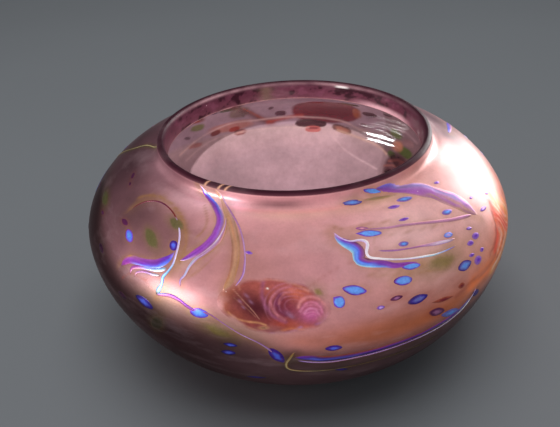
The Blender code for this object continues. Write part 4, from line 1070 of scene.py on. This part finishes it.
def lustre(name, metallic=0.35, rough=0.33, spread=0.03, coat=0.06, coat_rough=0.14, grain=0.04, mottle=0.10, bump=0.03, pearl=0.18, fumed=None, edge=(1.0, 1.0, 1.0), gloss=0.3):
    """Glass with a fumed metallic skin: clouded, finely grained, with pinhole seeds and a slight orange peel."""
    material = bpy.data.materials.new(name)
    material.use_nodes = True
    nt = material.node_tree
    shader = nt.nodes["Principled BSDF"]
    coords = nt.nodes.new("ShaderNodeTexCoord").outputs["Object"]
    tint = nt.nodes.new("ShaderNodeAttribute")
    tint.attribute_name = "tint"
    colour = tint.outputs["Color"]
    fine = noise_node(nt, coords, 1500.0, 3.0, 0.6)
    broad = noise_node(nt, coords, 150.0, 5.0, 0.6, (1.0, 1.0, 1.6))
    wisps = noise_node(nt, coords, 55.0, 6.0, 0.62, (1.0, 1.0, 3.2))
    colour = times(nt, colour, map_range(nt, fine, 0.3, 0.7, 1 - grain, 1 + grain))
    colour = times(nt, colour, map_range(nt, broad, 0.3, 0.7, 1 - mottle, 1 + mottle))
    pearl_fac = math_node(nt, "MULTIPLY", map_range(nt, wisps, 0.52, 0.78, 0.0, 1.0), pearl)
    colour = colour_mix(nt, pearl_fac, colour, rgb(232, 196, 204))
    # rare pale seeds under the skin
    seeds = nt.nodes.new("ShaderNodeTexVoronoi")
    seeds.inputs["Scale"].default_value = 260.0
    seeds.inputs["Randomness"].default_value = 1.0
    nt.links.new(coords, seeds.inputs["Vector"])
    pin = map_range(nt, seeds.outputs["Distance"], 0.03, 0.07, 1.0, 0.0)
    chance = map_range(nt, noise_node(nt, coords, 60.0, 1.0), 0.66, 0.72, 0.0, 1.0)
    pin = math_node(nt, "MULTIPLY", pin, chance)
    colour = colour_mix(nt, math_node(nt, "MULTIPLY", pin, 0.45), colour, rgb(240, 216, 214))
    nt.links.new(colour, shader.inputs["Base Color"])
    if fumed:
        # the tint's alpha says how thin the metal film is: 1 as the rest, 0 nearly all metal
        nt.links.new(map_range(nt, tint.outputs["Alpha"], 0.0, 1.0, fumed, metallic), shader.inputs["Metallic"])
    else:
        shader.inputs["Metallic"].default_value = metallic
    shader.inputs["Specular Tint"].default_value = edge + (1.0,)
    shader.inputs["Coat Weight"].default_value = coat
    shader.inputs["Coat Roughness"].default_value = coat_rough
    shader.inputs["IOR"].default_value = 1.5
    shader.inputs["Specular IOR Level"].default_value = gloss
    roughness = map_range(nt, math_node(nt, "ADD", math_node(nt, "MULTIPLY", broad, 0.6), math_node(nt, "MULTIPLY", fine, 0.4)), 0.3, 0.7, rough - spread, rough + spread)
    nt.links.new(roughness, shader.inputs["Roughness"])
    relief = nt.nodes.new("ShaderNodeBump")
    relief.inputs["Strength"].default_value = bump
    relief.inputs["Distance"].default_value = 0.0004
    swell = noise_node(nt, coords, 320.0, 3.0, 0.5)
    nt.links.new(swell, relief.inputs["Height"])
    nt.links.new(relief.outputs["Normal"], shader.inputs["Normal"])
    return material


def clear_lining(name):
    """The clear amethyst glass of the inside: glossy, thin enough that the colours outside show through."""
    material = bpy.data.materials.new(name)
    material.use_nodes = True
    nt = material.node_tree
    shader = nt.nodes["Principled BSDF"]
    coords = nt.nodes.new("ShaderNodeTexCoord").outputs["Object"]
    tint = nt.nodes.new("ShaderNodeAttribute")
    tint.attribute_name = "tint"
    broad = noise_node(nt, coords, 60.0, 5.0, 0.6)
    fine = noise_node(nt, coords, 420.0, 4.0, 0.6)
    colour = times(nt, tint.outputs["Color"], map_range(nt, broad, 0.3, 0.7, 0.86, 1.14))
    colour = times(nt, colour, map_range(nt, fine, 0.3, 0.7, 0.93, 1.07))
    nt.links.new(colour, shader.inputs["Base Color"])
    shader.inputs["IOR"].default_value = 1.52
    shader.inputs["Specular IOR Level"].default_value = 1.0
    nt.links.new(map_range(nt, fine, 0.3, 0.7, 0.04, 0.10), shader.inputs["Roughness"])
    nt.links.new(math_node(nt, "MULTIPLY", tint.outputs["Alpha"], map_range(nt, broad, 0.25, 0.75, 0.92, 1.06)), shader.inputs["Alpha"])
    relief = nt.nodes.new("ShaderNodeBump")
    relief.inputs["Strength"].default_value = 0.06
    relief.inputs["Distance"].default_value = 0.0006
    nt.links.new(noise_node(nt, coords, 110.0, 2.0, 0.5), relief.inputs["Height"])
    nt.links.new(relief.outputs["Normal"], shader.inputs["Normal"])
    return material


WALL_SKIN = lustre("rose_lustre_skin", fumed=0.92, edge=(0.62, 0.50, 0.50))
LIP_GLASS = lustre("amethyst_lip", metallic=0.0, rough=0.34, spread=0.02, coat=0.02, coat_rough=0.10, gloss=0.07, grain=0.06, mottle=0.10, bump=0.03, pearl=0.06, edge=(0.7, 0.6, 0.6))
LINING = clear_lining("amethyst_lining")
SKINS = {}


def skin_of(slot_name):
    """One lustred glass for each slot; the pieces' own colours ride in their tint."""
    if slot_name not in SKINS:
        SKINS[slot_name] = lustre(slot_name + "_skin", metallic=0.35, rough=0.32, spread=0.02, grain=0.08, mottle=0.12, pearl=0.10, coat=0.12,
                                  fumed=0.85, edge=(0.62, 0.50, 0.50))
    return SKINS[slot_name]


# ------------------------------------------------------------------ the vessel
INSIDE_PATCHES = [
    (167.2, 31.2, 32.5, 14.4, 1, rgb(116, 20, 34), 0.97, 0.10), (164.5, 31.5, 17.0, 8.0, 2, rgb(92, 14, 28), 0.55, 0.7),
    (155.2, 31.2, 4.4, 7.0, 0, rgb(186, 104, 58), 0.6, 0.6),
    (173.2, 39.2, 14.6, 3.8, 0, rgb(62, 26, 32), 0.95, 0.05), (175.4, 37.6, 8.0, 1.6, 0, rgb(84, 60, 56), 0.7, 0.4),
    (172.4, 41.9, 7.6, 3.2, 0, rgb(178, 92, 88), 0.9, 0.15), (172.4, 41.5, 5.2, 1.1, 0, rgb(112, 42, 50), 0.8, 0.4),
    (161.3, 41.2, 9.6, 3.6, -14, rgb(104, 62, 56), 0.9, 0.15), (161.1, 41.2, 7.0, 1.9, -14, rgb(160, 102, 88), 0.85, 0.4),
    (150.2, 30.9, 7.2, 2.8, -2, rgb(78, 34, 46), 0.95, 0.15), (142.6, 28.8, 4.4, 1.7, -6, rgb(68, 34, 50), 0.9, 0.2),
    (153.0, 38.0, 3.6, 2.2, 0, rgb(112, 74, 84), 0.7, 0.3), (155.4, 25.0, 5.0, 1.6, -4, rgb(62, 34, 40), 0.85, 0.3),
    (157.5, 24.6, 8.0, 1.6, -6, rgb(92, 96, 58), 0.7, 0.5),
    (139.9, 38.8, 6.6, 4.0, -20, rgb(98, 122, 46), 0.85, 0.55), (135.2, 46.0, 8.4, 4.6, -14, rgb(88, 112, 44), 0.9, 0.5),
    (140.6, 48.6, 4.4, 3.0, -20, rgb(82, 108, 52), 0.85, 0.5), (138.6, 44.2, 5.6, 5.2, 0, rgb(220, 142, 110), 0.85, 0.7),
    (134.6, 41.4, 6.0, 3.4, 0, rgb(176, 132, 134), 0.7, 0.7), (137.6, 56.0, 12.0, 17.0, 0, rgb(84, 50, 54), 0.92, 0.35),
    (139.6, 58.0, 4.4, 5.4, 0, rgb(44, 20, 26), 0.9, 0.4), (134.8, 51.6, 5.0, 3.6, 0, rgb(120, 70, 74), 0.7, 0.5),
    (-137.4, 25.6, 19.0, 4.4, -15, rgb(140, 60, 52), 0.9, 0.4), (-138.4, 26.4, 11.0, 1.8, -15, rgb(178, 60, 46), 0.85, 0.5),
    (-142.4, 32.2, 7.6, 4.0, -10, rgb(118, 126, 52), 0.85, 0.5), (-147.0, 24.0, 6.4, 2.2, -12, rgb(58, 46, 88), 0.8, 0.3),
    (-154.2, 24.6, 9.2, 3.0, -4, rgb(64, 84, 62), 0.9, 0.4), (-159.0, 28.4, 10.0, 8.6, 0, rgb(120, 94, 76), 0.75, 0.5),
    (-138.2, 36.4, 3.4, 1.6, -20, rgb(86, 52, 66), 0.8, 0.3),
    (-175.4, 32.9, 5.2, 3.4, 0, rgb(82, 34, 52), 0.95, 0.2), (-171.6, 28.6, 2.8, 2.0, 30, rgb(84, 36, 52), 0.9, 0.25),
    (-156.4, 36.6, 23.0, 5.0, 0, rgb(206, 130, 112), 0.8, 0.6), (-149.9, 38.2, 5.2, 2.6, 8, rgb(124, 48, 46), 0.9, 0.3),
    (-157.4, 38.4, 5.4, 2.4, 4, rgb(178, 60, 48), 0.9, 0.35), (-159.6, 40.4, 6.4, 2.8, 0, rgb(138, 78, 74), 0.85, 0.3),
    (-159.6, 40.4, 4.0, 1.4, 0, rgb(196, 134, 126), 0.8, 0.4), (-141.0, 41.2, 8.0, 2.2, -6, rgb(178, 104, 96), 0.7, 0.5),
]
INSIDE_LINES = [
    ([(-156.5, 22.5), (-160.5, 27.0), (-164.5, 31.6), (-168.2, 35.6), (-172.0, 37.2)], 1.5, rgb(112, 58, 54), 0.9),
    ([(-160.0, 25.5), (-164.0, 30.2), (-168.0, 34.6), (-171.4, 36.8)], 0.5, rgb(176, 88, 70), 0.7),
    ([(-170.5, 37.4), (-175.0, 36.4), (-179.5, 35.4), (-183.5, 34.8)], 0.8, rgb(188, 76, 66), 0.85),
    ([(-156.2, 30.5), (-158.4, 25.0), (-160.0, 21.0)], 0.5, rgb(150, 126, 110), 0.6),
    ([(-161.0, 32.0), (-159.8, 27.0), (-158.6, 22.0)], 0.5, rgb(84, 62, 54), 0.6),
    # painted reflections: two pale lines of light along the far wall near the girth
    ([(-134.0, 43.0), (-141.0, 39.4), (-149.0, 36.6), (-157.0, 35.0), (-166.0, 35.6), (-176.0, 35.4), (-186.0, 35.8), (-194.0, 36.4), (-200.0, 37.6), (-205.0, 40.0), (-212.0, 42.0)],
     0.42, rgb(232, 194, 188), 0.68),
    ([(-136.0, 46.5), (-142.0, 43.6), (-150.0, 40.9), (-163.0, 40.6), (-178.0, 40.8), (-186.0, 41.2)], 0.35, rgb(230, 192, 188), 0.36),
    ([(-197.0, 42.0), (-206.0, 44.4), (-214.0, 46.6), (-217.4, 49.0)], 0.5, rgb(214, 172, 150), 0.55),
    ([(-219.0, 52.0), (-223.0, 50.4), (-227.0, 52.0), (-226.6, 55.4)], 0.45, rgb(146, 86, 80), 0.75),
    ([(-217.6, 54.6), (-221.6, 53.4), (-224.6, 55.6), (-223.4, 59.0)], 0.40, rgb(150, 92, 84), 0.65),
    ([(-196.0, 46.0), (-200.0, 50.5), (-206.0, 54.0), (-215.0, 57.0)], 0.35, rgb(214, 178, 182), 0.5),
    ([(-219.0, 34.6), (-224.0, 36.6), (-229.0, 40.0)], 0.45, rgb(206, 170, 176), 0.5),
]


def inside_marks(colour, cover, az, depth):
    """Lays the marks that show inside the far wall, and the painted reflections along it, into its lining; each also
    lifts how much the lining covers.
    """
    broken = 0.5 * cloud(az, depth, 2.6, 1.8, 361, 3)
    for a, d, long, wide, tilt, tone, strength, soft in INSIDE_PATCHES:
        x, y = -wrapped(az, a) * 1.257, d - depth
        t = math.radians(tilt)
        u, v = (x * math.cos(t) + y * math.sin(t)) / (0.5 * long), (-x * math.sin(t) + y * math.cos(t)) / (0.5 * wide)
        r = (np.abs(u) ** 2.6 + np.abs(v) ** 2.6) ** (1 / 2.6) + 0.35 * soft * broken
        t = strength * (1 - ramp(r, 1 - 0.6 * soft, 1.04 + 0.35 * soft))
        colour = mix(colour, tone * (1 + 0.22 * broken)[..., None], t)
        cover = np.maximum(cover, 0.95 * t)
    for points, width, tone, strength in INSIDE_LINES:
        middle = 0.5 * (points[0][0] + points[-1][0])
        x = wrapped(az, middle) * 1.257
        d = near_line(x, depth, [((a - middle) * 1.257, q) for a, q in points])
        t = np.clip(strength * (1 + 0.5 * broken), 0, 1) * np.exp(-((d / (width * 1.25)) ** 2))
        colour = mix(colour, tone, t)
        cover = np.maximum(cover, 0.95 * t)
    return colour, cover


def lip_tint(run):
    """Colours round the rolled lip, from its outer foot to its inner corner (0..1)."""
    stops = [0.0, 0.05, 0.12, 0.25, 0.33, 0.47, 0.70, 0.93, 1.0]
    colours = [rgb(112, 70, 78), rgb(70, 36, 46), rgb(48, 20, 30), rgb(50, 22, 32), rgb(62, 30, 42), rgb(82, 42, 56),
               rgb(90, 46, 60), rgb(100, 56, 68), rgb(116, 70, 80)]
    return np.stack([np.interp(run, stops, [c[k] for c in colours]) for k in range(3)], -1)


def vessel():
    turns = 720
    outer = resample(OUTER, 128)
    lip = np.vstack([
        bezier((NECK_RADIUS - 0.05, 74.3), (NECK_RADIUS - 0.1, 75.1), (46.6, 75.5), (45.8, BOWL_HEIGHT), 9),
        bezier((45.8, BOWL_HEIGHT), (45.1, 75.5), (44.6, 74.6), (44.5, 73.4), 9)[1:],
        bezier((44.5, 73.4), (44.35, 72.0), (MOUTH_RADIUS - 0.1, 70.2), (MOUTH_RADIUS, CORNER_HEIGHT), 15)[1:],
    ])
    upper = bezier((MOUTH_RADIUS, CORNER_HEIGHT), (54.0, 68.0), (BELLY_RADIUS - WALL, 58.6), (BELLY_RADIUS - WALL, GIRTH_HEIGHT), 60)
    lower = bezier((BELLY_RADIUS - WALL, GIRTH_HEIGHT), (BELLY_RADIUS - WALL, 24.5), (49.0, 6.6), (27.0, FLOOR_HEIGHT), 60)
    inner = resample(np.vstack([upper, lower[1:], [(14.0, FLOOR_HEIGHT), (0.35, FLOOR_HEIGHT)]]), 400)
    # closer rings over the stretch of the far wall that shows through the mouth
    keep = np.unique(np.concatenate([np.linspace(0, 61, 22), np.linspace(61, 195, 112), np.linspace(195, 399, 46)]).round().astype(int))
    inner = inner[keep]
    foot = np.array([(0.35, PONTIL_RISE), (9.0, PONTIL_RISE), (18.0, PONTIL_RISE), (25.0, PONTIL_RISE - 0.05), (28.0, 0.55), (FOOT_INNER, 0.06),
                     (31.5, 0.0), (34.0, 0.0), (36.0, 0.04)])
    profile = np.vstack([outer, lip[1:], inner[1:], foot])
    n_outer, n_lip, n_inner = len(outer), len(lip) - 1, len(inner) - 1
    count = len(profile)
    az = np.arange(turns) / turns * 360.0 - 180.0
    a = np.radians(az)
    r, z = profile[:, 0], profile[:, 1]
    points = np.stack([r[:, None] * np.sin(a), -r[:, None] * np.cos(a), z[:, None] + 0 * a], -1)

    run = np.interp(np.arange(n_outer) / (n_outer - 1), [0, 1], [S_FOOT, S_LIP])
    tint = np.ones((count, turns, 4))
    tint[:n_outer, :, :3] = wall_colour(az[None, :], run[:, None])
    tint[:n_outer, :, 3] = film(az[None, :], run[:, None])
    along = np.concatenate([[0.0], np.cumsum(np.hypot(*np.diff(lip, axis=0).T))])
    along = (along / along[-1])[1:]
    band = lip_tint(along)[:, None, :] + 0 * az[None, :, None]
    far = ramp(np.abs(wrapped(az, 0)), 84, 118)[None, :]
    patch = cloud(az[None, :], along[:, None] * 9.8, 5.0, 2.4, 301, 3)
    inner_face = ramp(along, 0.36, 0.5)[:, None] * far
    band = mix(band, rgb(40, 16, 24), ramp(patch, 0.10, 0.42) * inner_face * 0.85)
    band = mix(band, rgb(112, 62, 80), ramp(-patch, 0.12, 0.5) * inner_face * 0.6)
    band = mix(band, rgb(92, 78, 56), np.exp(-((wrapped(az, -166) / 3.4) ** 2))[None, :] * inner_face * 0.6)
    # painted highlights: light on the roll of the lip and along its inner corner, a pale flare on the right and a glint
    # on the far lip
    roll = np.exp(-(((along[:, None] - 0.36) / 0.055) ** 2)) * far * (0.55 + 0.5 * cloud(az[None, :], 0 * along[:, None], 9.0, 2.0, 303, 3))
    roll = roll * np.interp(wrapped(az, 180), [-80, -40, -22, -6, 6, 22, 48, 80], [0.15, 0.3, 0.55, 0.25, 0.3, 0.75, 0.9, 0.3])[None, :]
    band = mix(band, rgb(226, 176, 184), np.clip(roll, 0, 1) * 0.85)
    corner = ramp(along, 0.955, 0.985)[:, None] * far * (0.7 + 0.6 * cloud(az[None, :], 0 * along[:, None], 4.0, 2.0, 305, 3))
    band = mix(band, rgb(224, 172, 168), np.clip(corner, 0, 1) * 0.8)
    flare = ramp(along[:, None], 0.72, 0.97) * np.exp(-((wrapped(az, 124) / 17.0) ** 4))[None, :]
    band = mix(band, rgb(236, 182, 192), flare * 0.75)
    glint = np.exp(-(((along[:, None] - 0.42) / 0.03) ** 2) - (wrapped(az, 153) / 3.4)[None, :] ** 4)
    band = mix(band, rgb(255, 246, 246), glint * 0.95)
    # hairlines of cream glass that cross the lip at the front left
    for start, lean in ((-34.4, 1.2), (-28.6, 1.6), (-25.8, 1.7)):
        hair = np.exp(-((wrapped(az[None, :], start + lean * along[:, None] * 4.0) / 0.42) ** 2)) * (1 - ramp(along, 0.30, 0.36))[:, None]
        band = mix(band, rgb(206, 152, 124), hair * 0.85)
    wear = 1 + 0.14 * cloud(az[None, :], along[:, None] * 9.0, 6.0, 2.0, 307, 3)
    tint[n_outer:n_outer + n_lip, :, :3] = np.clip(band * wear[..., None], 0, 1)
    rows = np.concatenate([[0.0], np.cumsum(np.hypot(*np.diff(inner, axis=0).T))])
    rows = (rows / rows[-1])[1:, None]
    stops = [0.0, 0.04, 0.12, 0.295, 0.312, 0.345, 0.40, 0.49, 0.60, 0.80, 1.0]
    colours = [rgb(116, 80, 92), rgb(150, 118, 130), rgb(172, 144, 158), rgb(180, 150, 162), rgb(196, 164, 166), rgb(192, 158, 162),
               rgb(182, 148, 155), rgb(164, 131, 138), rgb(164, 131, 140), rgb(172, 137, 147), rgb(178, 140, 150)]
    lining = np.stack([np.interp(rows, stops, [c[k] for c in colours]) for k in range(3)], -1) + 0 * az[None, :, None]
    haze = cloud(az[None, :] + 0 * rows, rows * 60, 15.0, 7.0, 321, 4)
    fine_haze = cloud(az[None, :] + 0 * rows, rows * 160 + 0.05 * az[None, :], 9.0, 5.0, 341, 4)
    lining = lining * (1 + (0.10 * haze + 0.07 * fine_haze) * (1 - ramp(rows, 0.74, 0.94)))[..., None]
    side = wrapped(az, 180)[None, :]
    # painted shade: the lit floor of the hollow darker towards its sides
    lining = lining * (1 - (0.10 * ramp(side, 12, 30) + 0.19 * ramp(-side, 12, 30)) * ramp(rows, 0.30, 0.32) * (1 - ramp(rows, 0.52, 0.74)))[..., None]
    # the shaded right flank of the hollow, with a hard edge where the light through the mouth stops
    flank = ramp(-side, 35.6, 36.4) * (1 - ramp(-side, 78, 92)) * (1 - ramp(rows, 0.52, 0.66))
    lining = mix(lining, rgb(140, 110, 114) + 0 * lining, flank * 0.8)
    # nearly covering on the far side, clearer round the rest, where the pieces outside show through
    depth = 0.40 + 0.55 * np.maximum(ramp(rows, 0.300, 0.318), 0.82 * ramp(np.abs(wrapped(az, 0)), 104, 126)[None, :])
    depth = np.clip(depth, 0, 0.96) + 0 * rows
    marked, depth = inside_marks(lining, depth, az[None, :] + 0 * rows, rows * 130.6)
    span = slice(n_outer + n_lip, n_outer + n_lip + n_inner)
    tint[span, :, :3] = np.clip(marked, 0, 1)
    tint[span, :, 3] = np.clip(depth, 0.08, 0.97)
    ground_glass = mix(rgb(92, 66, 74), rgb(66, 46, 56), ramp(np.arange(len(foot)), 2, 5)[:, None] + 0 * az[None, :])
    tint[n_outer + n_lip + n_inner:, :, :3] = ground_glass * (1 + 0.12 * cloud(az[None, :], np.arange(len(foot))[:, None] * 4.0, 12.0, 5.0, 331, 3))[..., None]

    faces, which = [], []
    for i in range(count):
        k = (i + 1) % count
        if i == n_outer + n_lip + n_inner - 1:
            # the floor's middle closes with a fan, and so does the pontil mark's
            continue
        slot_index = 0 if i < n_outer - 1 else (1 if i < n_outer + n_lip - 1 else (2 if i < n_outer + n_lip + n_inner - 1 else 0))
        for j in range(turns):
            m = (j + 1) % turns
            faces.append((i * turns + j, i * turns + m, k * turns + m, k * turns + j))
            which.append(slot_index)
    flat = points.reshape(-1, 3)
    tints = tint.reshape(-1, 4)
    for row, height, index in ((n_outer + n_lip + n_inner - 1, FLOOR_HEIGHT, 2), (n_outer + n_lip + n_inner, PONTIL_RISE, 0)):
        middle = len(flat)
        flat = np.vstack([flat, [(0.0, 0.0, height)]])
        tints = np.vstack([tints, tints[row * turns:row * turns + 1]])
        for j in range(turns):
            m = (j + 1) % turns
            faces.append((row * turns + j, row * turns + m, middle) if index == 2 else (row * turns + m, row * turns + j, middle))
            which.append(index)
    return flat, faces, tints, which


def place(name, made, slot_name, nodes=(), materials=None, which=None, tidy=True):
    points, faces, tints = made
    obj = make_object(name, points, faces, tints, materials or [skin_of(slot_name)], which, tidy=tidy)
    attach(obj, "root")
    if nodes:
        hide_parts(*nodes)
    return obj


_points, _faces, _tints, _which = vessel()
place("vessel", (_points, _faces, _tints), "rose_lustre_glass", ["bowl_body"], [WALL_SKIN, LIP_GLASS, LINING], _which)

for _i, (_name, _spec) in enumerate(TRAILS.items()):
    _has_node = _name in NODE_SLOTS
    place(_name + "_fine", strip(_name, _spec, 400 + 7 * _i), NODE_SLOTS.get(_name) or EXTRA_SLOTS[_name], [_name] if _has_node else ())
for _i, (_name, _chip) in enumerate(list(CHIPS.items()) + list(GRIT.items())):
    _has_node = _name in NODE_SLOTS
    _big = max(_chip[2], _chip[3]) > 9
    place(_name + "_fine", blob(_name, _chip, 800 + 13 * _i, rings=12 if _big else 9, turns=64 if _big else 44),
          NODE_SLOTS.get(_name) or SLOT_OF_KIND[_chip[5]], [_name] if _has_node else ())
for _i, (_name, (_chip, _paint, _rings, _turns)) in enumerate(PRUNTS.items()):
    place(_name + "_fine", blob(_name, _chip, 1900 + 17 * _i, _paint, _rings, _turns, proud=0.35, gain=0.2), NODE_SLOTS[_name], [_name])


# ------------------------------------------------------------------ studio
def plain(name, colour, rough):
    """Seamless paper: the slightest drift of tone."""
    material = bpy.data.materials.new(name)
    material.use_nodes = True
    nt = material.node_tree
    shader = nt.nodes["Principled BSDF"]
    coords = nt.nodes.new("ShaderNodeTexCoord").outputs["Object"]
    drift = noise_node(nt, coords, 3.0, 2.0)
    nt.links.new(colour_mix(nt, map_range(nt, drift, 0.3, 0.7, 0.0, 1.0), colour * 0.97, colour * 1.02), shader.inputs["Base Color"])
    shader.inputs["Roughness"].default_value = rough
    return material


def studio_floor():
    mesh = bpy.data.meshes.new("floor")
    size = 3.0
    mesh.from_pydata([(-size, -size, 0), (size, -size, 0), (size, size, 0), (-size, size, 0)], [], [(0, 1, 2, 3)])
    mesh.materials.append(plain("paper", rgb(186, 190, 194), 0.8))
    floor = bpy.data.objects.new("floor", mesh)
    floor.location.z = -0.0002
    bpy.context.scene.collection.objects.link(floor)


def panel(name, az, el, distance, width, height, watts, colour=(1, 1, 1), aim=(0, 0, 0.045), glossy=True, diffuse=True):
    lamp = bpy.data.lights.new(name, "AREA")
    lamp.shape = "RECTANGLE"
    lamp.size, lamp.size_y = width, height
    lamp.energy = watts
    lamp.color = colour
    obj = bpy.data.objects.new(name, lamp)
    a, e = math.radians(az), math.radians(el)
    way = Vector((math.sin(a) * math.cos(e), -math.cos(a) * math.cos(e), math.sin(e)))
    obj.location = Vector(aim) + way * distance
    obj.rotation_euler = way.to_track_quat("Z", "Y").to_euler()
    obj.visible_glossy = glossy
    obj.visible_diffuse = diffuse
    obj.visible_camera = False
    bpy.context.scene.collection.objects.link(obj)
    return obj


studio_floor()
box_right = panel("softbox_back_right", 130, 9, 0.55, 0.32, 0.40, 3.1, (1.0, 0.985, 0.98))
box_high = panel("softbox_back_high", 151, 23, 0.60, 0.20, 0.09, 0.6, (1.0, 0.985, 0.98))
box_left = panel("softbox_front_left", -60, 8, 0.60, 0.25, 0.15, 2.3, (1.0, 0.985, 0.94))
key = panel("key_through_mouth", 1.5, 42, 0.80, 0.014, 0.014, 5.5, (1.0, 0.97, 0.95), glossy=False)
panel("overhead_fill", 0, 86, 1.1, 0.9, 0.9, 3.6, (0.97, 0.98, 1.0), glossy=False)
# the window as the clear lining throws it back across the hollow: two thin strips, seen only in its gloss
glint_a = panel("glint_upper", -53, -14, 0.100, 0.019, 0.0032, 0.014, aim=(0.033, 0.063, 0.043), diffuse=False)
glint_b = panel("glint_lower", -53, -7, 0.100, 0.019, 0.0024, 0.008, aim=(0.033, 0.063, 0.043), diffuse=False)

# the hard key and the low boxes fall on the bowl alone, so that the paper stays plain
on_bowl = bpy.data.collections.new("on_bowl")
for _obj in bpy.context.scene.collection.objects:
    if _obj.type == "MESH" and _obj.name != "floor":
        on_bowl.objects.link(_obj)
for _lamp in (key, box_right, box_high, box_left, glint_a, glint_b):
    _lamp.light_linking.receiver_collection = on_bowl

# light that the real wall lets through from outside reaches the hollow as a dim lamp in it
glow = bpy.data.objects.new("wall_glow", bpy.data.lights.new("wall_glow", "POINT"))
glow.data.energy = 0.055
glow.data.shadow_soft_size = 0.02
glow.data.color = (1.0, 0.95, 0.95)
glow.location = (0, 0.01, 0.034)
glow.visible_glossy = False
glow.visible_camera = False
bpy.context.scene.collection.objects.link(glow)

world = bpy.data.worlds.new("studio")
world.use_nodes = True
world.node_tree.nodes["Background"].inputs["Color"].default_value = (0.80, 0.84, 0.88, 1)
world.node_tree.nodes["Background"].inputs["Strength"].default_value = 0.12
bpy.context.scene.world = world
bpy.context.scene.view_settings.view_transform = "Standard"

camera = bpy.data.objects.new("camera", bpy.data.cameras.new("camera"))
camera.data.sensor_fit = "HORIZONTAL"
camera.data.sensor_width = 36.0
camera.data.lens = 600.0 / 560.0 * 36.0
camera.data.clip_start = 0.01
right = Vector((0.999061, 0.004649, -0.043078))
up = Vector((0.034104, 0.528881, 0.848010))
back = -Vector((-0.026726, 0.848683, -0.528225))
camera.matrix_world = Matrix.Translation((0.0, -0.19349, 0.15998)) @ Matrix((right, up, back)).transposed().to_4x4()
bpy.context.scene.collection.objects.link(camera)
bpy.context.scene.camera = camera
